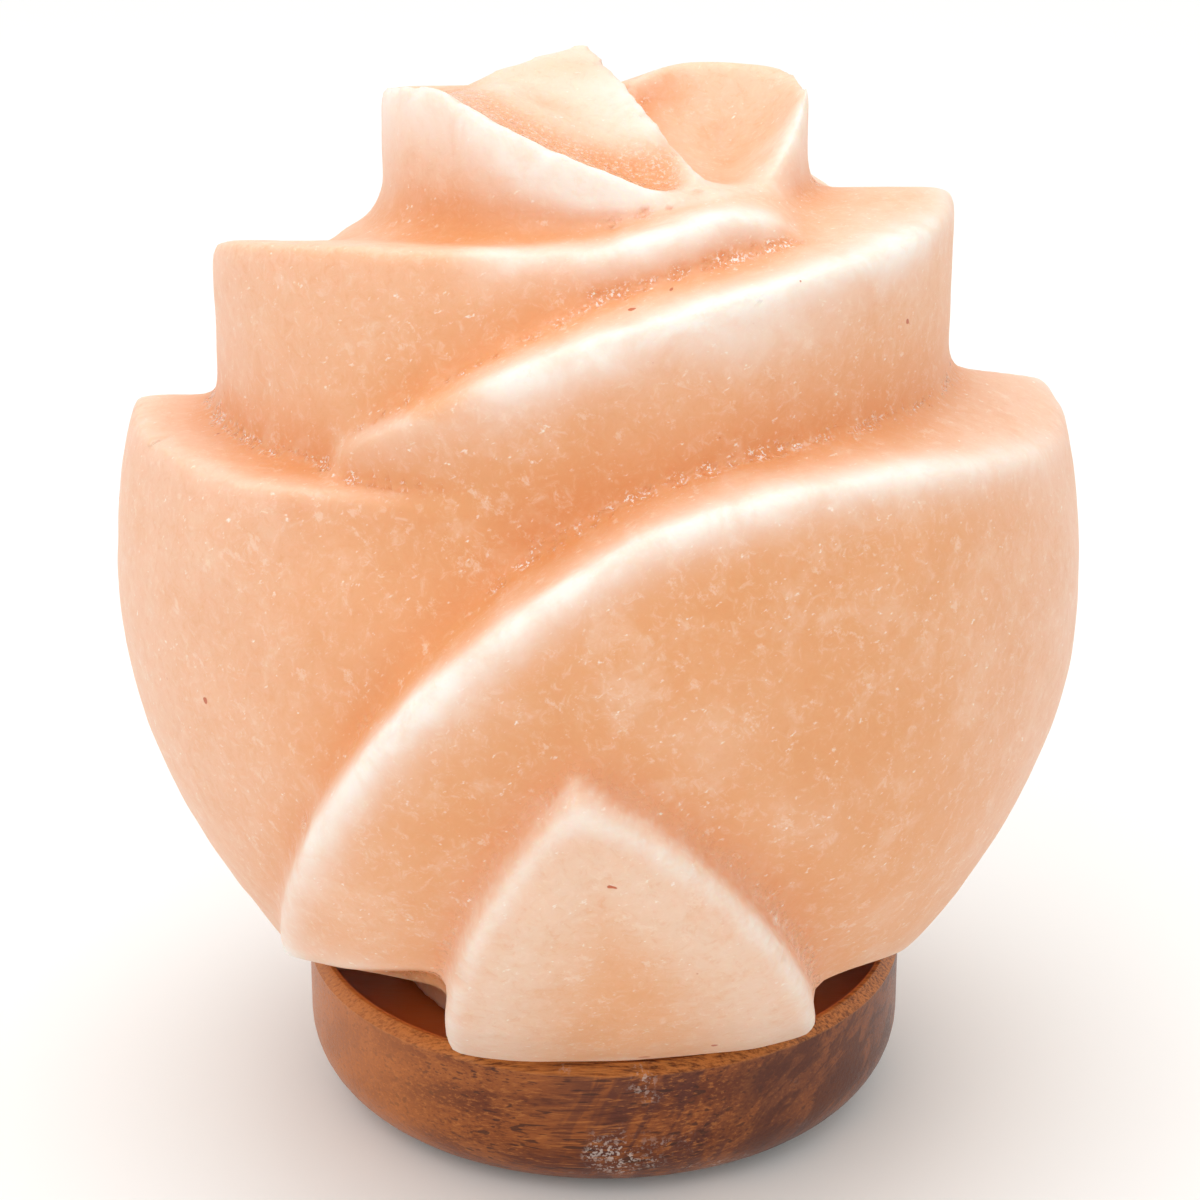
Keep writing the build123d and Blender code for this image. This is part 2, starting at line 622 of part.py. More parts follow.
def pear(shrink, low):
    """Solid pear of the bulb's outline, smaller all round by a wall, from a height up."""
    widest = GLASS_RADIUS - shrink
    neck = GLASS_NECK - shrink
    centre = GLASS_BOTTOM + GLASS_LENGTH - GLASS_RADIUS
    waist = GLASS_BOTTOM + GLASS_NECK_LENGTH
    dome = CenterArc((0, centre), widest, 0, 90)
    flank = TangentArc((widest, centre), (neck, waist), tangent=(0, -1))
    foot = Polyline((neck, waist), (neck, low), (0, low), (0, centre + widest))
    return revolve(make_face(Plane.XZ * (dome + flank + foot)), Axis.Z)


def bulb_glass():
    return pear(0, GLASS_BOTTOM) - pear(GLASS_WALL, GLASS_BOTTOM)


def glass_stem():
    flare = GLASS_NECK - GLASS_WALL
    top = GLASS_BOTTOM + STEM_LENGTH
    return turned(
        (0, GLASS_BOTTOM + STEM_HOLLOW),
        (flare - STEM_LIP, GLASS_BOTTOM),
        (flare, GLASS_BOTTOM),
        (STEM_RADIUS, GLASS_BOTTOM + STEM_FLARE_HEIGHT),
        (STEM_RADIUS, top),
        (0, top),
    )


def lead_wires():
    wires = []
    for side in (-1, 1):
        foot = Vector(side * STEM_RADIUS / 2, 0, GLASS_BOTTOM + STEM_LENGTH + WIRE_RADIUS)
        head = Vector(side * FILAMENT_SPAN / 2, 0, WIRE_TOP)
        wire = Plane(origin=foot, z_dir=head - foot) * Cylinder(
            WIRE_RADIUS, (head - foot).length, align=(Align.CENTER, Align.CENTER, Align.MIN)
        )
        wires.append(wire)
    return wires


def filament():
    half = FILAMENT_SPAN / 2
    low = WIRE_TOP + WIRE_RADIUS
    path = Plane.XZ * ThreePointArc((-half, low), (0, low + FILAMENT_RISE), (half, low))
    section = Plane(origin=path @ 0, z_dir=path % 0) * Circle(WIRE_RADIUS)
    return sweep(section, path=path)


# ---------- writing the pieces ----------
def pieces():
    clip = spring_clip()
    return {
        "wood_base": wood_base(),
        "salt_rose": salt_rose(),
        "rubber_feet": rubber_feet(),
        "base_screws": base_screws(),
        "wall_plugs": wall_plugs(),
        "socket_plate": socket_plate(),
        "clip_bracket": clip_bracket(),
        "clip_pins": clip_pins(),
        "spring_clip_right": clip,
        "spring_clip_left": Rot(0, 0, 180) * clip,
        "nipple": nipple(),
        "nipple_nut": nipple_nut(),
        "holder_cap": holder_cap(),
        "holder_skirt": holder_skirt(),
        "contact_insert": contact_insert(),
        "thread_shell": thread_shell(),
        "contact_tongue": contact_tongue(),
        "terminal_screws": terminal_screws(),
        "bulb_cap": bulb_cap(),
        "cap_insulator": cap_insulator(),
        "tip_contact": tip_contact(),
        "bulb_glass": bulb_glass(),
        "glass_stem": glass_stem(),
        "lead_wires": lead_wires(),
        "filament": filament(),
    }


def main():
    os.makedirs("parts", exist_ok=True)
    for name, piece in pieces().items():
        shape = Compound(children=piece) if isinstance(piece, list) else piece
        export_step(shape, f"parts/{name}.step")


main()
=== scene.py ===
# %% [markdown]
# # A rose of rock salt on a turned wooden base
# This lesson dresses a finished construction model of a salt lamp. The model gives every piece its place
# and size. Here the carved salt gets its worn edges and its sugary, glowing stone, the base gets its oiled
# wood, and the small parts inside get threads, rounded edges and metal.

# %% Load the construction model
import json
from math import asin, cos, pi, radians, sin

import bpy
import numpy as np
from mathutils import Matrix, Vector


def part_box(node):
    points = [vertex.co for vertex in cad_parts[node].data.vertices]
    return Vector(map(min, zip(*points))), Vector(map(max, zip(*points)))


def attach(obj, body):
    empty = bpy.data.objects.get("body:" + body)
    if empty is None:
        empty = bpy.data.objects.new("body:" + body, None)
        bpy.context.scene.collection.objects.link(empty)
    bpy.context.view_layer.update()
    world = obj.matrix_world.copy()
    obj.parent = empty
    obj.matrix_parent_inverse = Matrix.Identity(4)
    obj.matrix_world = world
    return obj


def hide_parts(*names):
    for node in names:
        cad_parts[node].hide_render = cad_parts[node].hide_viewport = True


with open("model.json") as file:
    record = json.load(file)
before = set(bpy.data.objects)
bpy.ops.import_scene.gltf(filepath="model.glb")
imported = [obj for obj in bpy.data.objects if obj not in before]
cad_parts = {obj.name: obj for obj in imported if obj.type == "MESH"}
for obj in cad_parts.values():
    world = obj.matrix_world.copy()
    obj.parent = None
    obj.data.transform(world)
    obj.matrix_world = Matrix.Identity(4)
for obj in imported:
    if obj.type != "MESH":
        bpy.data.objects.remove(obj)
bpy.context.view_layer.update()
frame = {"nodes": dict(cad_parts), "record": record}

MM = 0.001
record = frame["record"]
body_of = {node: body for body, nodes in record["behaviour"]["bodies"].items() for node in nodes}
slot_of = {row["node"]: row["material_slot"] for row in record["subparts"]}
colour_of = {row["slot"]: tuple(row["base_color"][:3]) for row in record["materials"]}
print("pieces in the model:", len(frame["nodes"]))

# %% [markdown]
# ## Small helpers
# Operators act on whatever is selected, so every step first selects just the piece it works on. Shapes that
# follow a rule, such as a worn ridge or a thread, are made by moving a mesh's vertices in code.


# %% Selecting and applying
def pick_none():
    """Leaves edit mode and selects nothing, so that the next piece is made by itself."""
    if bpy.context.object and bpy.context.object.mode != "OBJECT":
        bpy.ops.object.mode_set(mode="OBJECT")
    bpy.ops.object.select_all(action="DESELECT")


def pick_only(piece):
    """Makes a piece the only one selected, and the active one."""
    pick_none()
    piece.hide_set(False)
    piece.select_set(True)
    bpy.context.view_layer.objects.active = piece


def with_modifier(piece, kind, **settings):
    """Adds a modifier with its settings to a piece and applies it."""
    pick_only(piece)
    modifier = piece.modifiers.new(kind.title(), kind)
    for name, value in settings.items():
        setattr(modifier, name, value)
    bpy.ops.object.modifier_apply(modifier=modifier.name)


def edit_whole(piece):
    """Goes into edit mode with all of a piece selected."""
    pick_only(piece)
    bpy.ops.object.mode_set(mode="EDIT")
    bpy.ops.mesh.select_all(action="SELECT")


def twin_of(piece):
    """A copy of a piece, with a mesh of its own."""
    twin = piece.copy()
    twin.data = piece.data.copy()
    bpy.context.scene.collection.objects.link(twin)
    return twin


def copy_of_node(node, name):
    """A new piece with the shape of a node of the model, its loose triangles merged."""
    piece = twin_of(frame["nodes"][node])
    piece.name = name
    piece.parent = None
    for key in list(piece.keys()):
        del piece[key]
    piece.data.materials.clear()
    edit_whole(piece)
    bpy.ops.mesh.remove_doubles(threshold=0.002 * MM)
    bpy.ops.object.mode_set(mode="OBJECT")
    return piece


def corners_of(node):
    """The lowest and the highest corner of a node of the model, in mm."""
    low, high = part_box(node)
    return low / MM, high / MM


# %% Moving vertices in code
def points_of(piece, what="co"):
    """The places of a piece's vertices, as rows of x, y and z."""
    flat = np.zeros(len(piece.data.vertices) * 3)
    piece.data.vertices.foreach_get(what, flat)
    return flat.reshape(-1, 3)


def normals_of(piece):
    """The directions in which a piece's vertices face, as rows of x, y and z."""
    return points_of(piece, "normal")


def move_points(piece, places):
    piece.data.vertices.foreach_set("co", places.ravel())
    piece.data.update()


def smooth_step(low, high, value):
    """0 below low, 1 above high, and an even rise between them."""
    t = np.clip((value - low) / (high - low), 0, 1)
    return t * t * (3 - 2 * t)


# %% Helpers for materials
def new_finish(name, **sockets):
    """A material with one Principled shader, whose sockets are set by name."""
    finish = bpy.data.materials.new(name)
    finish.use_nodes = True
    shader = finish.node_tree.nodes["Principled BSDF"]
    for socket, value in sockets.items():
        shader.inputs[socket.replace("_", " ")].default_value = value
    return finish, finish.node_tree, shader


def add(tree, kind, feeds=(), **settings):
    """Adds a shader node. Each feed goes to the input of that name or number: a socket is linked, and
    anything else is set there."""
    made = tree.nodes.new("ShaderNode" + kind)
    for name, value in settings.items():
        setattr(made, name, value)
    for slot, value in dict(feeds).items():
        if isinstance(value, bpy.types.NodeSocket):
            tree.links.new(value, made.inputs[slot])
        else:
            made.inputs[slot].default_value = value
    return made


def noise(tree, place, size, detail=3.0, roughness=0.5, distortion=0.0):
    """Noise whose lumps are about a size in metres across."""
    feeds = {"Vector": place, "Scale": 1 / size, "Detail": detail}
    feeds.update({"Roughness": roughness, "Distortion": distortion})
    return add(tree, "TexNoise", feeds).outputs["Fac"]


def between(tree, value, low, high, start=0.0, end=1.0, smooth=True):
    """Maps a value from one range to another, held at both ends."""
    feeds = {"Value": value, "From Min": low, "From Max": high, "To Min": start, "To Max": end}
    kind = "SMOOTHSTEP" if smooth else "LINEAR"
    return add(tree, "MapRange", feeds, interpolation_type=kind).outputs["Result"]


def blend_colours(tree, factor, first, second):
    """Goes from the first colour to the second as the factor goes from 0 to 1."""
    mix = add(tree, "Mix", {"Factor": factor}, data_type="RGBA")
    for slot, value in ((6, first), (7, second)):
        if isinstance(value, bpy.types.NodeSocket):
            tree.links.new(value, mix.inputs[slot])
        else:
            mix.inputs[slot].default_value = (*value, 1)
    return mix.outputs[2]


def layered(tree, colour, layers):
    """Lays more colours over a colour in turn, each as strongly as the factor before it says."""
    for factor, tint in layers:
        colour = blend_colours(tree, factor, colour, tint)
    return colour


def times(tree, first, second, how="MULTIPLY"):
    return add(tree, "Math", {0: first, 1: second}, operation=how).outputs[0]


def object_place(tree):
    return add(tree, "TexCoord").outputs["Object"]


def stretched(tree, place, scale, turn=(0, 0, 0)):
    """The place, turned and then scaled along each axis."""
    facing = add(tree, "Mapping", {"Vector": place, "Rotation": turn}).outputs["Vector"]
    return add(tree, "Mapping", {"Vector": facing, "Scale": scale}).outputs["Vector"]


def painted(tree, name):
    """The value that was painted on the vertices under that name."""
    return add(tree, "Attribute", attribute_name=name).outputs["Fac"]


def bump(tree, shader, height, distance, strength=1.0, over=None):
    feeds = {"Height": height, "Distance": distance, "Strength": strength}
    if over is not None:
        feeds["Normal"] = over
    made = add(tree, "Bump", feeds).outputs["Normal"]
    tree.links.new(made, shader.inputs["Normal"])
    return made


# %% Handing a finished piece over
# The finish of each slot is kept here once it is made.
finish_of = {}


def dress(piece, finish):
    piece.data.materials.clear()
    piece.data.materials.append(finish)


def hand_over(piece, node):
    """Makes a finished piece stand for a node, with the finish of its slot and the body it moves with."""
    dress(piece, finish_of[slot_of[node]])
    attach(piece, body_of[node])
    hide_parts(node)
    print(piece.name, "stands for", node, "with", len(piece.data.polygons), "faces")


# %% [markdown]
# ## Camera, floor and light
# The lamp was photographed from a little above on a white table, in broad soft light from the upper left.
# The table and the room glow a little more for the camera and in reflections than they light the lamp,
# which keeps them white. A Light Path node tells these rays apart.

# %% Camera
CAMERA_ELEVATION = radians(22.5)
CAMERA_DISTANCE = 0.615
LOOK_AT = Vector((-0.0007, 0, 0.0886))
camera_data = bpy.data.cameras.new("camera")
camera_data.lens = 108
camera_data.sensor_width = 36
camera = bpy.data.objects.new("camera", camera_data)
camera.location = LOOK_AT + CAMERA_DISTANCE * Vector((0, -cos(CAMERA_ELEVATION), sin(CAMERA_ELEVATION)))
camera.rotation_euler = (pi / 2 - CAMERA_ELEVATION, 0, 0)
bpy.context.scene.collection.objects.link(camera)
bpy.context.scene.camera = camera

# %% What is seen
def seen_share(tree):
    """1 for rays from the camera, through glass or off something shiny, and 0 for rays of light."""
    rays = add(tree, "LightPath")
    seen = times(tree, rays.outputs["Is Camera Ray"], rays.outputs["Is Transmission Ray"], "MAXIMUM")
    return times(tree, seen, rays.outputs["Is Glossy Ray"], "MAXIMUM")


# %% Floor
PALE = (0.96, 0.95, 0.915)
FLOOR_SIZE = 40
pick_none()
bpy.ops.mesh.primitive_plane_add(size=FLOOR_SIZE)
floor = bpy.context.object
floor.name = "table_top"
GLOW_NEAR = 0.06
GLOW_FAR = 0.3
GLOW_RISE = (0.5, 3.0)
floor_finish, tree, shader = new_finish("white table", Base_Color=(0.87, 0.885, 0.895, 1), Roughness=0.7)
shader.inputs["Emission Color"].default_value = (*PALE, 1)
reach = add(tree, "VectorMath", {0: object_place(tree)}, operation="LENGTH").outputs["Value"]
glow = times(tree, seen_share(tree), between(tree, reach, *GLOW_RISE, GLOW_NEAR, GLOW_FAR))
tree.links.new(glow, shader.inputs["Emission Strength"])
dress(floor, floor_finish)

# %% Light
ROOM_LIGHT = 0.92
world = bpy.data.worlds.new("soft room")
bpy.context.scene.world = world
world.use_nodes = True
tree = world.node_tree
background = tree.nodes["Background"]
strength = between(tree, seen_share(tree), 0, 1, ROOM_LIGHT, 1.0, smooth=False)
tree.links.new(strength, background.inputs["Strength"])
background.inputs["Color"].default_value = (*PALE, 1)


def soft_box(name, place, size, power):
    """A square lamp of a size in metres and a power in watts, that faces the middle of the object."""
    light = bpy.data.lights.new(name, "AREA")
    light.size = size
    light.energy = power
    lamp = bpy.data.objects.new(name, light)
    lamp.location = place
    lamp.rotation_euler = (LOOK_AT - Vector(place)).to_track_quat("-Z", "Y").to_euler()
    bpy.context.scene.collection.objects.link(lamp)


soft_box("key", (-0.5, -0.6, 0.9), size=0.8, power=1.9)
soft_box("top", (0.0, 0.15, 1.2), size=0.9, power=4.7)
bpy.context.scene.view_settings.view_transform = "Standard"
print("lights:", len(bpy.data.lights), "and the room")

# %% [markdown]
# ## The carved salt
# The rose is one lump of rock salt, cut with an angle grinder and then sanded and washed. Washing rounds
# each ridge and leaves a soft hollow at the foot of each petal. It could be sculpted by hand, but the
# construction model already has the petals, so a copy is remeshed into even quads and its edges are worn
# by smoothing, most where the model has its sharpest corners. The drilled chamber inside stays as drilled.

# %% Remesh the copy
VOXEL = 1.25 * MM
BORE_REACH = 30 * MM
BORE_END = 129 * MM
rose = copy_of_node("salt_rose", "carved_rose")
with_modifier(rose, "REMESH", mode="VOXEL", voxel_size=VOXEL, use_smooth_shade=True)
print("rose quads:", len(rose.data.polygons))


# %% Find ridges and hollows
def wear_of(piece, rounds):
    """How far a smoothed copy lies inside (+, a ridge) or outside (-, a hollow) of each vertex, in mm."""
    before = points_of(piece)
    normals = normals_of(piece)
    twin = twin_of(piece)
    with_modifier(twin, "SMOOTH", factor=0.5, iterations=rounds)
    moved = np.sum((before - points_of(twin)) * normals, axis=1)
    bpy.data.objects.remove(twin)
    return moved / MM


def carved_part(places):
    """1 on the outside of the rose and 0 in the drilled chamber."""
    reach = np.hypot(places[:, 0], places[:, 1])
    return np.where((reach < BORE_REACH) & (places[:, 2] < BORE_END), 0.0, 1.0)


# %% Smooth in places
def group_of(piece, name, weights):
    """A vertex group with a weight for each vertex, in steps of a tenth."""
    group = piece.vertex_groups.new(name=name)
    steps = np.round(weights * 10).astype(int)
    for step in range(1, 11):
        chosen = np.flatnonzero(steps == step)
        if len(chosen):
            group.add([int(i) for i in chosen], step / 10, "REPLACE")
    return name


def smoothed(rounds, group="carved", factor=0.5):
    """Smooths the rose for so many rounds, as strongly as a vertex group says."""
    with_modifier(rose, "SMOOTH", factor=factor, iterations=rounds, vertex_group=group)


# %% [markdown]
# Water eats the valleys between petals round, and wears the ridges less. Sculpt brushes could do this by
# hand. A Smooth modifier that is held back by a vertex group does the same on every run. The groove round
# the small leaves stays tight.

# %% Wash the hollows out
VALLEY_ROUNDS = 50
RIDGE_ROUNDS = 9
wear = wear_of(rose, 12)
places = points_of(rose)
carved = carved_part(places)
beside_leaf = (np.abs(places[:, 0]) < 50 * MM) * smooth_step(103 * MM, 96 * MM, places[:, 2])
valley = smooth_step(0.05, 0.4, -wear) * carved * (1 - 0.85 * beside_leaf)
smoothed(VALLEY_ROUNDS, group_of(rose, "valleys", valley))
smoothed(RIDGE_ROUNDS, group_of(rose, "carved", carved))
print("wear in mm:", round(wear.min(), 2), "to", round(wear.max(), 2))

# %% Cut the seams
# Where two upper petals meet, the grinder's edge left a narrow line.
SEAM_DEPTH = 0.8 * MM
upper = smooth_step(112 * MM, 120 * MM, places[:, 2])
seam = smooth_step(0.23, 0.34, -wear) * carved * (1 - beside_leaf) * upper
move_points(rose, points_of(rose) - normals_of(rose) * (SEAM_DEPTH * seam)[:, None])
print("vertices in the seams:", np.sum(seam > 0.5))

# %% [markdown]
# The bud is three folded petals. The back one is a cup, and the front one is hollow behind its rim. These
# finer cuts could be boolean cuts in the model, but moving the vertices by smooth fades gives the soft,
# sanded shapes at once.

# %% Hollow the back petal of the bud
# Its inside leans back from the floor to the rim, and the rim rises to a low dome. The facet behind the
# front rim is scooped out a little.
BUD_GROOVE = 2.2 * MM
BUD_MIDDLE = -1.5 * MM
LOBE_LEAN = 10 * MM
LOBE_RISE = 2.4 * MM
LOBE_MIDDLE = 17 * MM
LOBE_HALF_WIDTH = 17 * MM
places = points_of(rose)
x, y, z = places.T
inner = smooth_step(3 * MM, 8 * MM, y) * smooth_step(26 * MM, 8 * MM, y) * smooth_step(1 * MM, 15 * MM, x)
lean = LOBE_LEAN * inner * smooth_step(164 * MM, 178 * MM, z)
across = np.clip(1 - ((x - LOBE_MIDDLE) / LOBE_HALF_WIDTH) ** 2, 0, 1)
rise = LOBE_RISE * across * smooth_step(2 * MM, 12 * MM, y) * smooth_step(160 * MM, 172 * MM, z)
facing_up = smooth_step(0.5, 0.8, normals_of(rose)[:, 2])
bud_reach = np.hypot(x - BUD_MIDDLE, y)
bud_groove = facing_up * smooth_step(33 * MM, 30 * MM, bud_reach)
bud_groove *= smooth_step(17 * MM, 25 * MM, bud_reach) * smooth_step(8 * MM, 0, y)
bud_groove *= smooth_step(15 * MM, 9 * MM, x) * smooth_step(162 * MM, 166 * MM, z)
rise -= BUD_GROOVE * bud_groove
move_points(rose, places + np.stack([np.zeros_like(x), lean, rise], axis=1))
smoothed(2)

# %% [markdown]
# A grinder leaves low swells, and the stone breaks along its crystals, so the ridges have small flat
# chips. On the left petal the rim steps inwards where a flake came off.

# %% Swells
for size, height in ((26 * MM, 1.3 * MM), (7 * MM, 0.3 * MM)):
    swell = bpy.data.textures.new("swell", "CLOUDS")
    swell.noise_scale = size
    with_modifier(rose, "DISPLACE", texture=swell, strength=height, vertex_group="carved")
print("swells:", len(bpy.data.textures))

# %% The broken rim
FLAKE_DEPTH = 3.5 * MM
places = points_of(rose)
azimuth = np.degrees(np.arctan2(places[:, 0], -places[:, 1]))
reach = np.hypot(places[:, 0], places[:, 1])
height = places[:, 2] / MM
along = smooth_step(-50, -38, azimuth) * smooth_step(-10, -26, azimuth)
dug = FLAKE_DEPTH * along * smooth_step(104, 126, height) * smooth_step(60 * MM, 72 * MM, reach)
dug *= smooth_step(140, 131, height)
places[:, :2] *= (1 - dug / reach)[:, None]
move_points(rose, places)
print("the flake is", round(dug.max() / MM, 1), "mm deep")

# %% [markdown]
# A small pointed leaf lies on the front petal, and another on the back petal. In the model they are flat
# against the petals. On the stone each stands a little proud, with a groove beside it that the carver's
# wheel left, so vertices inside its outline are lifted and those just outside are lowered.

# %% The small leaves
# The two sides of a leaf are arcs, each given by three corners in mm to the right and up.
LEAF_LIFT = 1.6 * MM
LEAF_GROOVE = 2.3 * MM
LEAF_GROOVE_WIDTH = 17.0
LEAF_SIDES = (((-4.5, 94), (-19, 71), (-25.5, 28)), ((35, 28), (27, 63), (-4.5, 94)))


def within_arc(x, z, corners):
    """How far points lie inside the circle through three corners."""
    (x1, z1), (x2, z2), (x3, z3) = corners
    sides = np.array([[x2 - x1, z2 - z1], [x3 - x1, z3 - z1]]) * 2
    squares = [x2**2 + z2**2 - x1**2 - z1**2, x3**2 + z3**2 - x1**2 - z1**2]
    centre_x, centre_z = np.linalg.solve(sides, squares)
    return np.hypot(x1 - centre_x, z1 - centre_z) - np.hypot(x - centre_x, z - centre_z)


places = points_of(rose)
normals = normals_of(rose)
turn = np.where(places[:, 1] < 0, 1.0, -1.0)
across, height = turn * places[:, 0] / MM, places[:, 2] / MM
within = np.minimum(*(within_arc(across, height, side) for side in LEAF_SIDES))
outside = (np.hypot(places[:, 0], places[:, 1]) > 45 * MM) & (np.abs(places[:, 1]) > 30 * MM)
leaf = smooth_step(-0.9, 2.0, within) * smooth_step(26, 5, within)
groove = smooth_step(-LEAF_GROOVE_WIDTH, -2.0, within) * smooth_step(1.4, -2.0, within)
lifted = (LEAF_LIFT * leaf - LEAF_GROOVE * groove) * outside * smooth_step(27 * MM, 31 * MM, places[:, 2])
move_points(rose, places + normals * lifted[:, None])
smoothed(2)
print("leaves lifted by up to", round(lifted.max() / MM, 1), "mm")

# %% Chips along the ridges
# Each chip is a small flat cut, which moves the vertices in front of a plane back onto it.
CHIPS = 90
rng = np.random.default_rng(7)
sharp = wear_of(rose, 10)
edge_points = np.flatnonzero((sharp > 0.16) & (carved_part(points_of(rose)) > 0.5))
places = points_of(rose)
normals = normals_of(rose)
for i in rng.choice(edge_points, CHIPS, replace=False):
    facing = normals[i] + rng.normal(0, 0.3, 3)
    facing /= np.linalg.norm(facing)
    offset = (places - places[i]) @ facing + rng.uniform(0.02, 0.14) * MM
    near = np.linalg.norm(places - places[i], axis=1) < rng.uniform(1.0, 2.4) * MM
    hit = near & (offset > 0)
    places[hit] -= np.outer(offset[hit], facing)
move_points(rose, places)
smoothed(1, factor=0.4)
print("chips:", CHIPS, "among", len(edge_points), "vertices on sharp ridges")


# %% Let values soak in
def soaked(piece, values, rounds):
    """Spreads values over the vertices around, a little further each round."""
    edges = piece.data.edges
    ends = np.zeros(len(edges) * 2, dtype=np.int32)
    edges.foreach_get("vertices", ends)
    first, second = ends.reshape(-1, 2).T
    total = len(values)
    count = np.bincount(first, minlength=total) + np.bincount(second, minlength=total)
    for _ in range(rounds):
        around = np.bincount(first, values[second], total) + np.bincount(second, values[first], total)
        values = (values + around / count) / 2
    return values


# %% Soften the bud's rim, its ragged right end and one pit
# The scoop leaves a ragged line behind the bud's front rim. At the back right, two shelves meet in a pit.
PIT = (43, 35, 115)
RAGGED_END = (27, -14, 171)
for name, middle, far, rounds in (("pit", PIT, 17 * MM, 260), ("ragged_end", RAGGED_END, 15 * MM, 36)):
    away = np.linalg.norm(points_of(rose) - np.array(middle) * MM, axis=1)
    smoothed(rounds, group_of(rose, name, smooth_step(far, far / 2, away)), factor=0.6)
smoothed(9, group_of(rose, "bud_rim", np.clip(4 * soaked(rose, bud_groove, 6), 0, 1)))

# %% [markdown]
# The material has to know where the stone is worn white and where it stays wet, where painted shade makes
# the hollows a deeper orange, and where upward faces get a painted top light. This could be painted by hand
# as vertex colours. Here it comes from how far a smoothed copy of the rose lies inside or outside of it,
# and from which way it faces, and it is stored as one number on each vertex under a name. The rims of the
# two left petals and of the bud's back petal are hardly frosted. The ridges of the front petals have a wide
# white band, and the upper one has a bright patch on its face.

# %% Where the rims and the bud are
places = points_of(rose)
x, y, z = places.T
broad = wear_of(rose, 45)
fine = wear_of(rose, 8)
low_left = smooth_step(108 * MM, 118 * MM, z) * smooth_step(61 * MM, 66 * MM, np.hypot(x, y))
left_rims = smooth_step(-12 * MM, -26 * MM, x) * np.maximum(low_left, smooth_step(138 * MM, 143 * MM, z))
second_rim = left_rims * smooth_step(140 * MM, 146 * MM, z) * smooth_step(170 * MM, 162 * MM, z)
bud_reach = np.hypot(x - BUD_MIDDLE, y)
bud = smooth_step(38 * MM, 35 * MM, bud_reach) * smooth_step(158 * MM, 164 * MM, z)
lobe = bud * smooth_step(6 * MM, 10 * MM, x) * smooth_step(-4 * MM, 4 * MM, y)
front_bud = bud * smooth_step(0, -8 * MM, y)
leaf = soaked(rose, leaf * outside, 3)
on_leaf = smooth_step(0, 0.3, leaf)
away_from_leaf = 1 - smooth_step(0, 0.4, soaked(rose, leaf, 20))
print("vertices on the bud:", np.sum(bud > 0.5), "and on the leaves:", np.sum(leaf > 0.5))


# %% Paint the worn ridges, the painted shade of the hollows and the painted top light of the shelves
def paint(piece, name, values):
    """Stores a number on each vertex for the material to read."""
    layer = piece.data.attributes.new(name, "FLOAT", "POINT")
    layer.data.foreach_set("value", values.astype(np.float32))


BRIGHT_PATCH = (20, -49, 154)
PATCH_REACH = (12, 14, 4.5)
edges = smooth_step(0.1, 0.8, broad)
narrow = soaked(rose, edges, 8) * (1 - 0.55 * left_rims - 0.3 * second_rim)
front = smooth_step(-15 * MM, -35 * MM, y)
wide = soaked(rose, edges, 45) * (1 - left_rims) * front * (1 - smooth_step(0, 0.6, leaf))
bright = np.linalg.norm((places - np.array(BRIGHT_PATCH) * MM) / np.array(PATCH_REACH) / MM, axis=1)
leaf_edges = soaked(rose, smooth_step(0.4, 0.95, broad), 3) * on_leaf
bud_band = front_bud * soaked(rose, edges, 110)
ridge = 0.55 * narrow * (1 - on_leaf) + 0.75 * leaf_edges + 1.4 * wide + 2.3 * bud_band
ridge = ridge * (1 - 0.75 * lobe) + 0.5 * np.exp(-(bright**2)) * (1 - smooth_step(0.03, 0.4, -broad))
hollow = smooth_step(0.03, 0.6, -broad) * (1 - 0.8 * lobe)
crease = smooth_step(0.03, 0.2, -fine) * (1 - lobe) * away_from_leaf
seam = seam * (1 - lobe) * (1 - front_bud) * away_from_leaf
paint(rose, "ridge", np.clip(ridge, 0, 1) * (1 - 0.8 * bud_groove))
# painted shade: these values make the hollows and seams a deeper orange, for their shade and scattered
# light
paint(rose, "hollow", np.clip(hollow + 0.5 * bud_groove, 0, 1))
paint(rose, "deep", np.clip(1.9 * soaked(rose, hollow, 80) + 0.4 * bud_groove, 0, 1))
paint(rose, "crease", np.clip(crease + bud_groove, 0, 1))
paint(rose, "seam", np.clip(seam + bud_groove * 0.45, 0, 1))
paint(rose, "bud", bud)
paint(rose, "leaf", leaf)
# painted top light: upward-facing faces are marked here to be painted paler, as if lit from above
paint(rose, "shelf_top_light", smooth_step(0.6, 0.95, normals_of(rose)[:, 2]) * (1 - bud_groove))
print("broad wear in mm:", round(broad.min(), 2), "to", round(broad.max(), 2))

# %% [markdown]
# Rock salt is cloudy and lets light in a little way, so the shader scatters light below the surface. Sanded
# ridges are frosted white. Hollows and seams get painted shade as a deeper orange, for the shade and the
# light scattered in them. Single grains glint, from a low roughness and from painted glints in the seams.

# %% Patterns in the salt
finish_of["salt"], tree, shader = new_finish(
    "rock salt",
    IOR=1.54,
    Subsurface_Weight=0.35,
    Subsurface_Radius=(1.0, 0.42, 0.22),
    Subsurface_Scale=0.009,
    Sheen_Weight=0.12,
    Sheen_Roughness=0.5,
    Sheen_Tint=(1.0, 0.86, 0.78, 1),
)
place = object_place(tree)
clouds = noise(tree, place, 45 * MM, 4, 0.55, 0.4)
patches = noise(tree, place, 10 * MM, 5, 0.65, 0.5)
grains = noise(tree, place, 2.2 * MM, 5, 0.75, 0.8)
flecks = noise(tree, stretched(tree, place, (1, 1, 1.6), (0.4, 0.5, 0.3)), 1.4 * MM, 2.5, 0.6)
right, _, up = add(tree, "SeparateXYZ", {0: place}).outputs
pink_side = times(tree, between(tree, right, -15 * MM, -75 * MM), 0.65)
pink_end = times(tree, between(tree, right, 45 * MM, 78 * MM), 0.7)
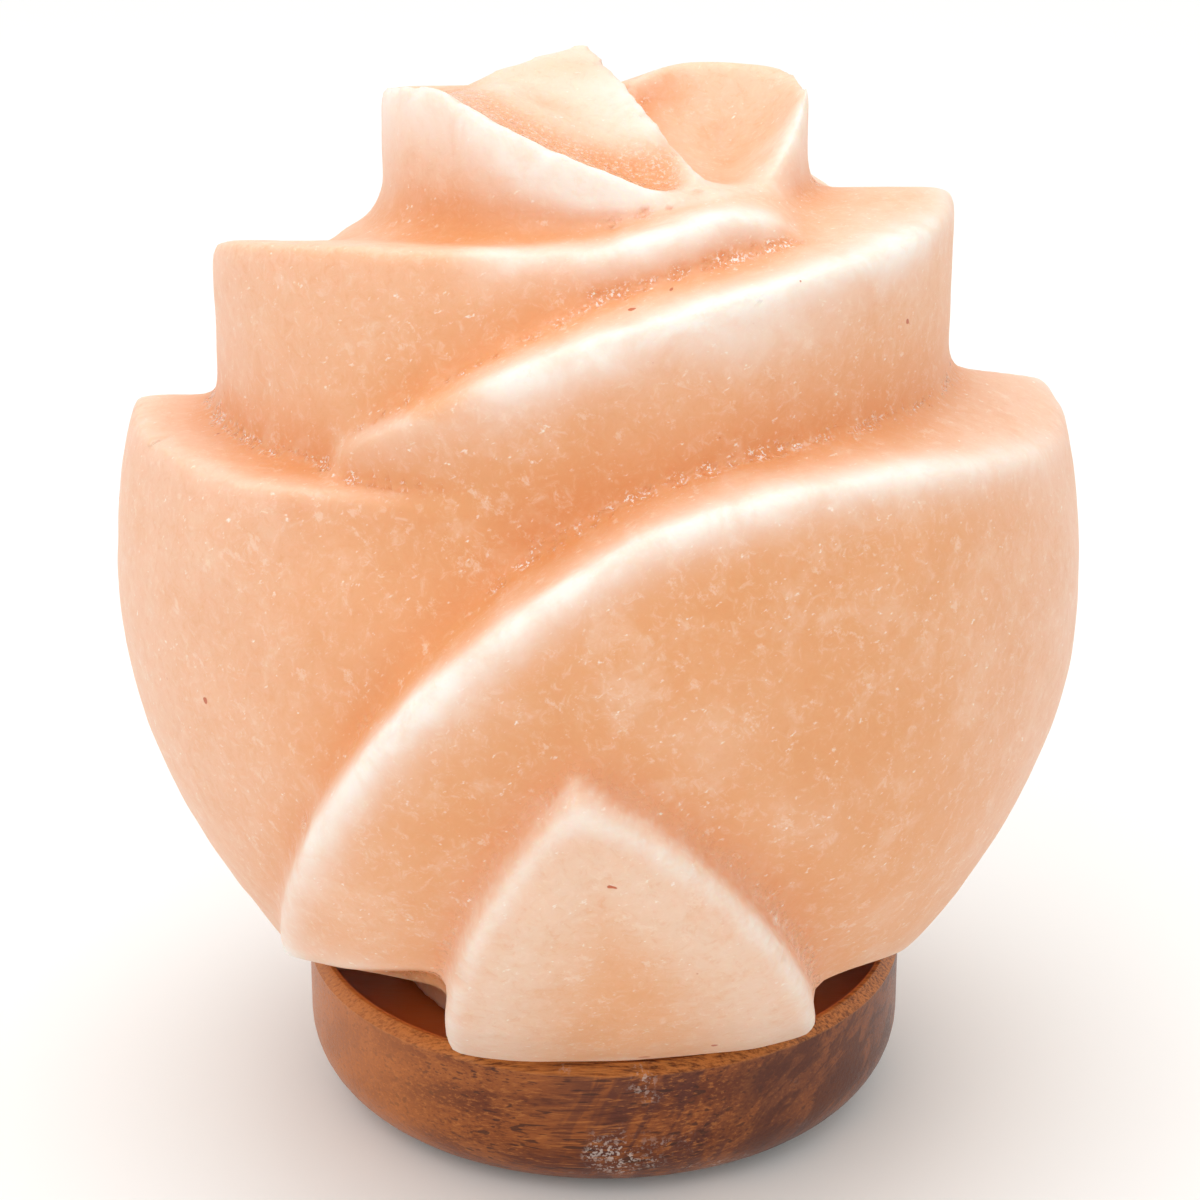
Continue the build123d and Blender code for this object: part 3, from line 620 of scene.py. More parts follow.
# painted top light: the upper parts are painted paler, as if lit from above
high = between(tree, up, 128 * MM, 165 * MM, 0, 0.35)
frost = times(tree, painted(tree, "ridge"), between(tree, patches, 0.3, 0.6, 0.7, 1.0))
fleck_rooms = between(tree, patches, 0.35, 0.6, 0.25, 1.0)
fleck_mask = times(tree, between(tree, flecks, 0.63, 0.78), fleck_rooms)
clots = noise(tree, stretched(tree, place, (1.3, 1, 1), (0.2, 0.7, 0.5)), 4 * MM, 5, 0.75, 0.1)
specks = times(tree, noise(tree, place, 3.0 * MM, 1, 0.4), between(tree, clouds, 0.45, 0.6))
# painted glints: where white grains are painted in the seams
painted_glint_rooms = times(tree, painted(tree, "seam"), between(tree, patches, 0.35, 0.55, 0.15, 0.85))
painted_glint_grains = between(tree, noise(tree, place, 0.6 * MM, 2, 0.7, 0.3), 0.55, 0.62)
print("patterns in the salt:", len(tree.nodes), "nodes")

# %% Colours of the salt
# The body colour comes first. Over it lie the pink ends, a painted top light that makes the upper parts,
# the bud and the shelves paler, the pale leaves, painted shade deep in the hollows, patches and grains, the
# frost, more painted shade in the hollows, white flecks and clots, dark specks, painted shade in the seams,
# and painted glints.
body = blend_colours(tree, between(tree, clouds, 0.35, 0.65), (0.79, 0.355, 0.145), (0.83, 0.42, 0.215))
body = layered(
    tree,
    body,
    (
        (times(tree, pink_side, pink_end, "ADD"), (0.87, 0.51, 0.35)),
        # painted top light on the upper parts, the bud and the shelves
        (high, (0.88, 0.54, 0.36)),
        (times(tree, painted(tree, "bud"), 0.45), (0.94, 0.72, 0.57)),
        (times(tree, painted(tree, "shelf_top_light"), 0.3), (0.93, 0.68, 0.52)),
        (times(tree, painted(tree, "leaf"), 0.85), (0.87, 0.66, 0.52)),
        # painted shade: a deeper orange soaked out from the hollows
        (times(tree, painted(tree, "deep"), 0.9), (0.80, 0.31, 0.10)),
        (between(tree, patches, 0.5, 0.72, 0, 0.45), (0.88, 0.57, 0.40)),
        (between(tree, patches, 0.48, 0.3, 0, 0.3), (0.78, 0.34, 0.13)),
        (between(tree, grains, 0.5, 0.72, 0, 0.35), (0.93, 0.70, 0.56)),
        (between(tree, grains, 0.5, 0.3, 0, 0.3), (0.76, 0.31, 0.11)),
        (frost, (0.93, 0.86, 0.80)),
        # painted shade: a deeper orange in the hollows
        (times(tree, painted(tree, "hollow"), 0.6), (0.80, 0.29, 0.09)),
        (times(tree, fleck_mask, 0.85), (0.97, 0.88, 0.80)),
        (times(tree, between(tree, clots, 0.58, 0.68), 0.4), (0.93, 0.72, 0.58)),
        (between(tree, specks, 0.775, 0.8), (0.55, 0.12, 0.04)),
        # painted shade: a deeper orange in the seams
        (times(tree, painted(tree, "seam"), 0.4), (0.80, 0.28, 0.08)),
        # painted glints: white grains in the seams
        (times(tree, painted_glint_grains, painted_glint_rooms), (1.0, 0.95, 0.9)),
    ),
)
tree.links.new(body, shader.inputs["Base Color"])

# %% Polish and grain of the salt
wet = times(tree, painted(tree, "crease"), between(tree, grains, 0.45, 0.55))
tree.links.new(between(tree, wet, 0, 1, 0.44, 0.12), shader.inputs["Roughness"])
crystals = add(tree, "TexVoronoi", {"Vector": place, "Scale": 1 / (1.3 * MM)}).outputs["Distance"]
rough = bump(tree, shader, grains, 0.3 * MM, 0.35)
bump(tree, shader, times(tree, crystals, painted(tree, "crease")), 0.5 * MM, 0.6, over=rough)
pick_only(rose)
bpy.ops.object.shade_smooth()
hand_over(rose, "salt_rose")

# %% [markdown]
# ## Turning on a lathe
# The base and most of the small parts inside are round, so they are made as on a lathe: the outline's first
# corner is drawn as a ring of vertices, and the ring is extruded, lifted and widened to each next corner.


# %% Lathe
def turned(name, outline, steps=96, hollow=False):
    """A turned piece from the (radius, height) corners of its outline in mm. An outline that comes back to
    its first corner makes a closed ring. Any other gets a flat face at each end, or if it is a hollow
    shell, at its last end only."""
    radius, height = outline[0]
    closed = outline[0] == outline[-1] or hollow
    fill = "NOTHING" if closed else "NGON"
    pick_none()
    bpy.ops.mesh.primitive_circle_add(vertices=steps, radius=radius * MM, fill_type=fill)
    piece = bpy.context.object
    piece.name = name
    edit_whole(piece)
    bpy.ops.transform.translate(value=(0, 0, height * MM))
    for next_radius, next_height in outline[1:]:
        lift = {"value": (0, 0, (next_height - height) * MM)}
        bpy.ops.mesh.extrude_region_move(TRANSFORM_OT_translate=lift)
        wider = next_radius / radius
        bpy.ops.transform.resize(value=(wider, wider, 1), center_override=(0, 0, next_height * MM))
        radius, height = next_radius, next_height
    if hollow:
        bpy.ops.mesh.edge_face_add()
    bpy.ops.mesh.select_all(action="SELECT")
    bpy.ops.mesh.remove_doubles(threshold=0.001 * MM)
    bpy.ops.mesh.normals_make_consistent(inside=False)
    bpy.ops.object.mode_set(mode="OBJECT")
    return piece


def leaning_arc(start, rise, inwards, steps=8):
    """Corners of an arc that leaves a (radius, height) upright, and ends a rise higher and that much
    further in."""
    bend = (inwards**2 + rise**2) / (2 * inwards)
    angle = asin(rise / bend)
    turns = [angle * i / steps for i in range(steps + 1)]
    return [(start[0] - bend * (1 - cos(a)), start[1] + bend * sin(a)) for a in turns]


def upright(radius, low, high, step):
    """Corners of a straight wall, with a ring at least every step, for a thread to be cut into."""
    count = int((high - low) / step) + 1
    return [(radius, low + (high - low) * i / count) for i in range(count + 1)]


def shaded(piece, angle):
    """Shades a piece smooth, apart from edges that turn by more than an angle in degrees."""
    pick_only(piece)
    bpy.ops.object.shade_smooth_by_angle(angle=radians(angle))
    return piece


def rounded(piece, width, segments=3, angle=30):
    """Rounds a piece's edges by a width in mm, and shades it smooth between them."""
    with_modifier(
        piece,
        "BEVEL",
        width=width * MM,
        segments=segments,
        limit_method="ANGLE",
        angle_limit=radians(angle),
        use_clamp_overlap=True,
    )
    return shaded(piece, 40)


def cut_away(piece, cutter):
    """Cuts a piece with another, which is used up."""
    with_modifier(piece, "BOOLEAN", operation="DIFFERENCE", solver="EXACT", object=cutter)
    bpy.data.objects.remove(cutter)


def block(low, high):
    """A block between two corners in mm, to cut with."""
    pick_none()
    middle = [(a + b) / 2 * MM for a, b in zip(low, high)]
    bpy.ops.mesh.primitive_cube_add(size=1, location=middle)
    cutter = bpy.context.object
    cutter.scale = [(b - a) * MM for a, b in zip(low, high)]
    bpy.ops.object.transform_apply(location=True, scale=True)
    return cutter


def cut_thread(piece, depth, pitch, low, high):
    """Moves the wall between two heights in and out along a helix, all values in mm. A negative depth
    bulges outwards."""
    places = points_of(piece)
    x, y, z = (places / MM).T
    reach = np.hypot(x, y)
    phase = 2 * pi * z / pitch - np.arctan2(y, x)
    fade = smooth_step(low, low + pitch / 2, z) * smooth_step(high, high - pitch / 2, z)
    places[:, :2] *= (1 - fade * depth * (0.5 + 0.5 * np.cos(phase)) / np.maximum(reach, 0.1))[:, None]
    move_points(piece, places)


def shifted(piece, x, y):
    """Moves a piece's mesh sideways by so many mm."""
    move_points(piece, points_of(piece) + np.array([x * MM, y * MM, 0]))
    return piece


def joined(pieces, name):
    """Makes one piece of several."""
    pick_only(pieces[0])
    for piece in pieces[1:]:
        piece.select_set(True)
    bpy.ops.object.join()
    pieces[0].name = name
    return pieces[0]


def moved_copies(piece, places):
    """Copies of a piece at (x, y) places in mm, joined into one."""
    name = piece.name
    copies = [shifted(twin_of(piece), x, y) for x, y in places]
    bpy.data.objects.remove(piece)
    return joined(copies, name)


def on_circle(radius, count, first):
    """Places evenly round the axis, the first at an angle in degrees from +X."""
    angles = [radians(first + 360 * i / count) for i in range(count)]
    return [(radius * cos(a), radius * sin(a)) for a in angles]


# %% [markdown]
# ## The wooden base
# The base is turned from one block of dark reddish hardwood and oiled. Its grain runs from left to right,
# so the front shows long lines and the right side shows arcs of end grain. The bare chamfer of the rim is
# paler, and salt dust has settled on it.

# %% Turn the base
wood_low, wood_high = corners_of("wood_base")
WOOD_RADIUS = wood_high.x
WOOD_BOTTOM = wood_low.z
WOOD_TOP = wood_high.z
SIDE_ROUND_WIDTH = 6.5
SIDE_ROUND_HEIGHT = 11.0
RIM_CHAMFER = 1.7
RIM_FLAT = 0.8
RECESS_FLOOR = WOOD_TOP - 6.0
WEB_BOTTOM = RECESS_FLOOR - 10.0
HOLE_RADIUS = 22.5
COUNTERBORE_RADIUS = 25.6
round_top = (WOOD_RADIUS, WOOD_BOTTOM + SIDE_ROUND_HEIGHT)
side_round = leaning_arc(round_top, -SIDE_ROUND_HEIGHT, SIDE_ROUND_WIDTH)
recess_radius = WOOD_RADIUS - RIM_CHAMFER - RIM_FLAT
outline = [
    (COUNTERBORE_RADIUS, WOOD_BOTTOM),
    (COUNTERBORE_RADIUS, WEB_BOTTOM),
    (HOLE_RADIUS, WEB_BOTTOM),
    (HOLE_RADIUS, RECESS_FLOOR),
    (recess_radius, RECESS_FLOOR),
    (recess_radius, WOOD_TOP),
    (recess_radius + RIM_FLAT, WOOD_TOP),
    (WOOD_RADIUS, WOOD_TOP - RIM_CHAMFER),
    *side_round,
    (COUNTERBORE_RADIUS, WOOD_BOTTOM),
]
base = turned("turned_base", outline, 160)
print("base faces:", len(base.data.polygons))

# %% Groove and screw pockets
# A cutter is a plain block or a turned rod, and a Boolean modifier takes it away from the base.
CORD_GROOVE_WIDTH = 8.0
CORD_GROOVE_DEPTH = 8.0
SCREW_CIRCLE = 31.5
POCKET_RADIUS = 4.25
POCKET_DEPTH = 11.0
screw_places = on_circle(SCREW_CIRCLE, 3, -90)
half = CORD_GROOVE_WIDTH / 2
cut_away(base, block((-half, 11, 0), (half, 60, WOOD_BOTTOM + CORD_GROOVE_DEPTH)))
for x, y in screw_places:
    pocket = turned("pocket", [(POCKET_RADIUS, 0), (POCKET_RADIUS, WOOD_BOTTOM + POCKET_DEPTH)], 48)
    cut_away(base, shifted(pocket, x, y))
rounded(base, 0.35)

# %% [markdown]
# Wood is layer on layer of thin tubes. Rings and noise that are stretched along the grain give its bands
# and fibres, and short dark marks are open pores. Pictures of wood could do it too, but they would stretch
# on the turned sides, while a pattern in space runs through the piece as real grain does.

# %% Patterns in the wood
finish_of["wood"], tree, shader = new_finish(
    "oiled hardwood", Coat_Weight=0.15, Coat_Roughness=0.08, Specular_IOR_Level=0.2
)
place = object_place(tree)
right, back, up = add(tree, "SeparateXYZ", {0: place}).outputs
grain_place = stretched(tree, place, (0.16, 1, 1), (0.25, 0.06, 0.12))
ring_place = add(tree, "Mapping", {"Vector": grain_place, "Location": (0, 0.05, 0.045)}).outputs["Vector"]
ring_feeds = {"Vector": ring_place, "Scale": 30, "Distortion": 4.0, "Detail": 3.0, "Detail Scale": 2.0}
rings = add(tree, "TexWave", ring_feeds, wave_type="RINGS", rings_direction="X").outputs["Fac"]
streaks = noise(tree, grain_place, 6 * MM, 5, 0.65, 0.8)
slanted = noise(tree, stretched(tree, place, (1, 0.5, 0.16), (0, -0.42, 0)), 5 * MM, 4, 0.6, 0.5)
fibres = noise(tree, stretched(tree, place, (0.06, 1, 1), (0.05, 0.04, 0.08)), 0.5 * MM, 4, 0.7)
pores = noise(tree, stretched(tree, place, (0.14, 1, 1), (0.05, 0.04, 0.08)), 0.8 * MM, 1, 0.5)
curved = noise(tree, stretched(tree, place, (1, 0.5, 0.12), (0, -0.85, 0)), 3.5 * MM, 4, 0.65, 0.9)
centre_left = between(tree, right, -14 * MM, 0)
centre_right = between(tree, right, 38 * MM, 24 * MM)
dark = times(tree, times(tree, centre_left, centre_right), between(tree, slanted, 0.44, 0.54, 0.1, 0.75))
right_end = between(tree, right, 16 * MM, 30 * MM)
curves = times(tree, right_end, between(tree, curved, 0.46, 0.56, 0, 0.7))
light_end = times(tree, between(tree, right, -18 * MM, -42 * MM), 0.5)
rim_height = between(tree, up, 24.9 * MM, 25.5 * MM)
rim = times(tree, rim_height, between(tree, fibres, 0.35, 0.6, 0.1, 0.85))
away = add(tree, "VectorMath", {0: place, 1: (1, 1, 0)}, operation="MULTIPLY").outputs[0]
reach = add(tree, "VectorMath", {0: away}, operation="LENGTH").outputs["Value"]
# painted light: the reddish wood of the recess is painted lighter to make up for its shade
recess_height = between(tree, up, 15 * MM, 20 * MM)
painted_recess_light = times(tree, between(tree, reach, 49.9 * MM, 49.4 * MM), recess_height)
dust_clouds = between(tree, noise(tree, place, 16 * MM, 3, 0.6), 0.55, 0.72)
dust_front = between(tree, back, -35 * MM, -47 * MM)
dust_grains = between(tree, noise(tree, place, 0.8 * MM, 2, 0.7), 0.5, 0.62)
dust = times(tree, times(tree, dust_clouds, dust_front), dust_grains)
print("patterns in the wood:", len(tree.nodes), "nodes")

# %% Colours of the wood
# The rings come first. Over them lie streaks, the dark middle, light and dark fibres, pores, the darker
# right end with its curves, the lighter left end, the pale rim, the reddish recess painted lighter against
# its shade, and the dust.
colour = blend_colours(tree, between(tree, rings, 0.1, 0.9), (0.15, 0.033, 0.008), (0.26, 0.068, 0.014))
colour = layered(
    tree,
    colour,
    (
        (between(tree, streaks, 0.45, 0.62, 0, 0.7), (0.36, 0.105, 0.022)),
        (dark, (0.085, 0.021, 0.014)),
        (between(tree, fibres, 0.52, 0.66, 0, 0.6), (0.50, 0.17, 0.04)),
        (between(tree, fibres, 0.47, 0.36, 0, 0.7), (0.07, 0.015, 0.006)),
        (between(tree, pores, 0.62, 0.68, 0, 0.8), (0.05, 0.014, 0.007)),
        (times(tree, right_end, 0.55), (0.15, 0.044, 0.018)),
        (curves, (0.07, 0.017, 0.009)),
        (light_end, (0.62, 0.20, 0.05)),
        (rim, (0.60, 0.22, 0.055)),
        # painted light in the recess, over its reddish wood
        (times(tree, painted_recess_light, 0.85), (0.72, 0.22, 0.06)),
        (times(tree, dust, 0.6), (0.75, 0.66, 0.60)),
    ),
)
tree.links.new(colour, shader.inputs["Base Color"])
tree.links.new(between(tree, fibres, 0.3, 0.7, 0.3, 0.48), shader.inputs["Roughness"])
bump(tree, shader, times(tree, fibres, pores, "SUBTRACT"), 0.12 * MM, 0.35)
hand_over(base, "wood_base")

# %% [markdown]
# ## Finishes for the small parts
# The parts underneath and inside are rubber, metal, plastic, ceramic and glass. Each takes its colour from
# the model, and noise lets the colour and the polish wander a little, as on used metal.


# %% A mottled finish
def mottled(name, slot, spread, size, polish, grain, stretch=(1, 1, 1), **sockets):
    """A finish in its slot's colour, darker in places by a share, with patches of a size in mm, a polish
    that wanders between two roughness values, and a grain that is so many mm deep."""
    finish, tree, shader = new_finish(name, **sockets)
    place = stretched(tree, object_place(tree), stretch)
    patches = noise(tree, place, size * MM, 4, 0.6)
    colour = colour_of[slot]
    worn = tuple(c * (1 - spread) for c in colour)
    mottles = blend_colours(tree, between(tree, patches, 0.35, 0.7), colour, worn)
    tree.links.new(mottles, shader.inputs["Base Color"])
    tree.links.new(between(tree, patches, 0.3, 0.7, *polish), shader.inputs["Roughness"])
    bump(tree, shader, noise(tree, place, size * MM / 8, 3, 0.6), grain * MM, 0.5)
    finish_of[slot] = finish


# %% Metals, plastics, rubber and ceramic
# Each row has the values that mottled takes, in its order.
METALS = (
    ("plain steel", "steel", 0.25, 5, (0.28, 0.5), 0.03),
    ("zinc plated steel", "plated_steel", 0.18, 6, (0.18, 0.42), 0.02),
    ("spring steel", "spring_steel", 0.3, 4, (0.25, 0.45), 0.02, (1, 8, 1)),
    ("brass", "brass", 0.3, 4, (0.2, 0.42), 0.02),
    ("bulb cap metal", "bulb_metal", 0.15, 3, (0.25, 0.45), 0.02),
    ("solder", "solder", 0.25, 1.5, (0.3, 0.55), 0.08),
    ("lead wire", "wire", 0.3, 1, (0.3, 0.5), 0.01),
    ("tungsten", "tungsten", 0.3, 0.5, (0.4, 0.6), 0.01),
)
OTHERS = (
    ("black rubber", "rubber", 0.35, 3, (0.7, 0.9), 0.06),
    ("grey plastic", "plug_plastic", 0.12, 6, (0.45, 0.6), 0.03),
    ("ivory plastic", "holder_plastic", 0.06, 12, (0.28, 0.4), 0.02),
    ("glazed ceramic", "insert_ceramic", 0.08, 5, (0.12, 0.25), 0.03),
    ("black glass", "black_glass", 0.4, 2, (0.05, 0.2), 0.02),
)
for row in METALS:
    mottled(*row, Metallic=1.0)
for row in OTHERS:
    mottled(*row)
print("finishes:", len(finish_of))

# %% Clear glass
finish_of["clear_glass"], tree, shader = new_finish(
    "clear glass", Base_Color=(0.98, 0.99, 0.98, 1), Transmission_Weight=1.0, IOR=1.45
)
film = noise(tree, object_place(tree), 14 * MM, 4, 0.6)
tree.links.new(between(tree, film, 0.4, 0.8, 0.0, 0.07), shader.inputs["Roughness"])
bump(tree, shader, noise(tree, object_place(tree), 9 * MM, 1, 0.4), 0.05 * MM, 0.3)

# %% [markdown]
# ## Feet, screws and plugs
# Four rubber pads stand under the base. Three screws come up through it into plastic plugs in the salt.

# %% Rubber pads
PAD_RADIUS = 4.5
PAD_HEIGHT = WOOD_BOTTOM
PAD_CIRCLE = 39.5
pad = turned("rubber_pads", [(PAD_RADIUS - 0.5, 0), (PAD_RADIUS, 0.5), (PAD_RADIUS, PAD_HEIGHT)], 48)
pads = moved_copies(rounded(pad, 0.25), on_circle(PAD_CIRCLE, 4, 45))
hand_over(pads, "rubber_feet")

# %% Screws
SCREW_RADIUS = 1.9
HEAD_RADIUS = 3.8
SCREW_POINT = 0.4
SCREW_THREAD_DEPTH = 0.55
SCREW_PITCH = 1.8
SLOT_HALF_WIDTH = 0.5
SLOT_DEPTH = 1.2
screw_low, screw_high = corners_of("base_screws")
SEAT = WOOD_BOTTOM + POCKET_DEPTH
shank = upright(SCREW_RADIUS, SEAT, screw_high.z - 2.6, 0.3)
head = [(HEAD_RADIUS - 1.0, screw_low.z), (HEAD_RADIUS, screw_low.z + 0.9), (HEAD_RADIUS, SEAT)]
screw = turned("base_screws_threaded", [*head, *shank, (SCREW_POINT, screw_high.z)], 32)
cut_thread(screw, SCREW_THREAD_DEPTH, SCREW_PITCH, SEAT + 4, screw_high.z - 1)
slot_low = (-HEAD_RADIUS - 1, -SLOT_HALF_WIDTH, screw_low.z - 1)
slot_high = (HEAD_RADIUS + 1, SLOT_HALF_WIDTH, screw_low.z + SLOT_DEPTH)
cut_away(screw, block(slot_low, slot_high))
hand_over(moved_copies(shaded(screw, 40), screw_places), "base_screws")

# %% Wall plugs
PLUG_RADIUS = 2.95
RIB_DEPTH = 0.35
RIB_PITCH = 2.0
plug_low, plug_high = corners_of("wall_plugs")
PLUG_WAIST = PLUG_RADIUS - RIB_DEPTH
ribs = []
for i in range(int((plug_high.z - plug_low.z) / RIB_PITCH)):
    foot = plug_low.z + i * RIB_PITCH
    crest = foot + RIB_PITCH * 0.8
    ribs += [(PLUG_WAIST, foot), (PLUG_RADIUS, crest), (PLUG_RADIUS, crest + RIB_PITCH * 0.1)]
bore = [(SCREW_RADIUS, plug_high.z), (SCREW_RADIUS, plug_low.z), (PLUG_WAIST, plug_low.z)]
plug = turned("ribbed_plugs", [*ribs, (PLUG_WAIST, plug_high.z), *bore], 32)
hand_over(moved_copies(shaded(plug, 30), screw_places), "wall_plugs")

# %% [markdown]
# ## The pull-out lamp holder
# A steel plate closes the hole under the base. It carries a bracket with two spring clips that grip the
# wall of the chamber, and a threaded tube that the cord comes in through and the lamp holder stands on.
# Flat sheet metal keeps the model's shape: its loose triangles are joined into whole faces again, so that a
# bevel can round the edges.


# %% Sheet metal
def softened(node, name, width, segments):
    """A copy of a node with its edges rounded by a width in mm, in so many segments."""
    piece = copy_of_node(node, name)
    edit_whole(piece)
    bpy.ops.mesh.dissolve_limited(angle_limit=radians(1))
    bpy.ops.object.mode_set(mode="OBJECT")
    return rounded(piece, width, segments)


# %% The bent and punched parts
# Each row is a node, the new piece's name, and the width and the segments of its rounded edges.
SHEET_PARTS = (
    ("clip_bracket", "bracket_strip", 0.15, 2),
    ("clip_pins", "hinge_pins", 0.2, 2),
    ("spring_clip_left", "left_wing", 0.12, 2),
    ("spring_clip_right", "right_wing", 0.12, 2),
    ("nipple_nut", "hexagon_nut", 0.35, 3),
    ("contact_tongue", "centre_tongue", 0.08, 2),
    ("terminal_screws", "wire_screws", 0.15, 2),
)
for node, *settings in SHEET_PARTS:
    hand_over(softened(node, *settings), node)

# %% [markdown]
# The plate is a turned disc. The tube is threaded from end to end. A Screw modifier could make a thread as
# a coil, but moving the rings of an upright wall in and out along a helix keeps the tube one closed piece.

# %% Plate and threaded tube
TUBE_RADIUS = 5.0
TUBE_BORE = 3.8
TUBE_HOLE = 5.02
TUBE_THREAD_DEPTH = 0.5
TUBE_PITCH = 1.0
plate_low, plate_high = corners_of("socket_plate")
tube_low, tube_high = corners_of("nipple")
plate_outline = [
    (TUBE_HOLE, plate_low.z),
    (TUBE_HOLE, plate_high.z),
    (plate_high.x, plate_high.z),
    (plate_high.x, plate_low.z),
    (TUBE_HOLE, plate_low.z),
]
hand_over(rounded(turned("closing_plate", plate_outline, 128), 0.25), "socket_plate")
tube_outline = [
    (TUBE_BORE, tube_high.z),
    (TUBE_BORE, tube_low.z),
    *upright(TUBE_RADIUS, tube_low.z, tube_high.z, 0.17),
    (TUBE_BORE, tube_high.z),
]
tube = turned("threaded_tube", tube_outline, 64)
cut_thread(tube, TUBE_THREAD_DEPTH, TUBE_PITCH, tube_low.z, tube_high.z)
hand_over(shaded(tube, 50), "nipple")

# %% [markdown]
# The holder is moulded in two shells: a dome that stands on the tube, and a sleeve over it with a lip round
# the bulb. The outline of a shell goes up outside and comes down inside. A bevel rounds the moulded edges.

# %% Lamp holder
HOLDER_RADIUS = 13.5
HOLDER_INSIDE = 12.05
NECK_RADIUS = 7.5
NECK_HEIGHT = 2.5
SHOULDER = ((11, 5), (12.6, 7.2))
DOME_FLOOR = 5.5
DOME_FLOOR_RADIUS = 9.85
STRAIGHT_WALL = 3
holder_low, holder_high = corners_of("holder_cap")
skirt_low, skirt_high = corners_of("holder_skirt")
CAP_LOW = holder_low.z
CAP_HIGH = holder_high.z
cap_outline = [
    (TUBE_HOLE, CAP_LOW),
    (NECK_RADIUS, CAP_LOW),
    (NECK_RADIUS, CAP_LOW + NECK_HEIGHT),
    *((radius, CAP_LOW + height) for radius, height in SHOULDER),
    (HOLDER_RADIUS, CAP_HIGH - STRAIGHT_WALL),
    (HOLDER_RADIUS, CAP_HIGH),
    (HOLDER_INSIDE, CAP_HIGH),
    (HOLDER_INSIDE, CAP_HIGH - STRAIGHT_WALL),
    (DOME_FLOOR_RADIUS, CAP_LOW + DOME_FLOOR),
    (TUBE_HOLE, CAP_LOW + DOME_FLOOR),
    (TUBE_HOLE, CAP_LOW),
]
hand_over(rounded(turned("holder_dome", cap_outline), 0.35, angle=12), "holder_cap")
LIP_RADIUS = 9.2
LIP_THICKNESS = 1.2
SEAT_RADIUS = 12.775
SEAT_DEPTH = 1.5
skirt_outline = [
    (SEAT_RADIUS, CAP_HIGH),
    (HOLDER_RADIUS, CAP_HIGH),
    (HOLDER_RADIUS, skirt_high.z),
    (LIP_RADIUS, skirt_high.z),
    (LIP_RADIUS, skirt_high.z - LIP_THICKNESS),
    (HOLDER_INSIDE, skirt_high.z - LIP_THICKNESS),
    (HOLDER_INSIDE, CAP_HIGH + SEAT_DEPTH),
    (SEAT_RADIUS, CAP_HIGH + SEAT_DEPTH),
    (SEAT_RADIUS, CAP_HIGH),
]
hand_over(rounded(turned("holder_sleeve", skirt_outline), 0.45), "holder_skirt")

# %% [markdown]
# A glazed ceramic insert keeps the wires apart. The brass liner has a rolled thread, which shows on both
# sides of the thin sheet, so its inner and outer walls are moved together.

# %% Insert and screw liner
INSERT_RADIUS = 12.0
FLANGE_RADIUS = 12.725
FLANGE_HEIGHT = 1.5
COLLAR_INSIDE = 7.57
COLLAR_OUTSIDE = 9.27
LINER_OUTSIDE = 7.55
LINER_BORE = 7.0
LINER_BULGE = 0.45
BULB_PITCH = 2.8
insert_low, insert_high = corners_of("contact_insert")
liner_low, liner_high = corners_of("thread_shell")
insert_outline = [
    (FLANGE_RADIUS, insert_low.z),
    (FLANGE_RADIUS, insert_low.z + FLANGE_HEIGHT),
    (INSERT_RADIUS, insert_low.z + FLANGE_HEIGHT),
    (INSERT_RADIUS, liner_low.z),
    (COLLAR_OUTSIDE, liner_low.z),
    (COLLAR_OUTSIDE, insert_high.z),
    (COLLAR_INSIDE, insert_high.z),
    (COLLAR_INSIDE, liner_low.z),
]
hand_over(rounded(turned("ceramic_insert", insert_outline), 0.25), "contact_insert")
liner_outline = [
    *upright(LINER_OUTSIDE, liner_low.z, liner_high.z, 0.4),
    *reversed(upright(LINER_BORE, liner_low.z, liner_high.z, 0.4)),
    (LINER_OUTSIDE, liner_low.z),
]
liner = turned("screw_liner", liner_outline)
cut_thread(liner, -LINER_BULGE, BULB_PITCH, insert_high.z + 0.3, liner_high.z - 0.4)
hand_over(shaded(liner, 50), "thread_shell")

# %% [markdown]
# ## The bulb
# A small clear bulb stands in the holder. Its metal cap has a rolled thread, and a black glass bead and a
# drop of solder close it below. All three are round, so they come from the lathe too.

# %% Cap
CAP_RADIUS = 6.95
CAP_WALL = 0.4
CAP_MOUTH = 4.6
CAP_THREAD_DEPTH = 0.5
RIM_INSIDE = 7.25
cap_low, cap_high = corners_of("bulb_cap")
waist = cap_high.z - 4
thread_low = cap_low.z + 1.6
cap_outline = [
    (CAP_MOUTH, cap_low.z),
    *upright(CAP_RADIUS, thread_low, waist, 0.4),
    (RIM_INSIDE + CAP_WALL, waist + 1.5),
    (RIM_INSIDE + CAP_WALL, cap_high.z),
    (RIM_INSIDE, cap_high.z),
    (RIM_INSIDE, waist + 1.6),
    *reversed(upright(CAP_RADIUS - CAP_WALL, thread_low + 0.1, waist + 0.1, 0.4)),
    (CAP_MOUTH - CAP_WALL, cap_low.z),
    (CAP_MOUTH, cap_low.z),
]
cap = turned("screw_cap", cap_outline)
cut_thread(cap, CAP_THREAD_DEPTH, BULB_PITCH, thread_low, waist - 0.6)
hand_over(shaded(cap, 50), "bulb_cap")

# %% Bead and solder
bead_low, bead_high = corners_of("cap_insulator")
tip_low, tip_high = corners_of("tip_contact")
bead_outline = [(3.4, bead_low.z), (4.55, cap_low.z), (4.15, cap_low.z), (4.15, bead_high.z)]
hand_over(rounded(turned("glass_bead", bead_outline, 48), 0.2), "cap_insulator")
tip_outline = [(1.4, tip_low.z), (2.1, tip_low.z + 0.35), (2.4, tip_low.z + 0.9), (2.4, tip_high.z)]
hand_over(rounded(turned("solder_tip", tip_outline, 48), 0.2), "tip_contact")

# %% [markdown]
# Blown glass has an even wall, so one thin skin is turned, and a Solidify modifier gives it the wall
# inwards. The stem inside, which carries the wires, flares out below to meet the neck.

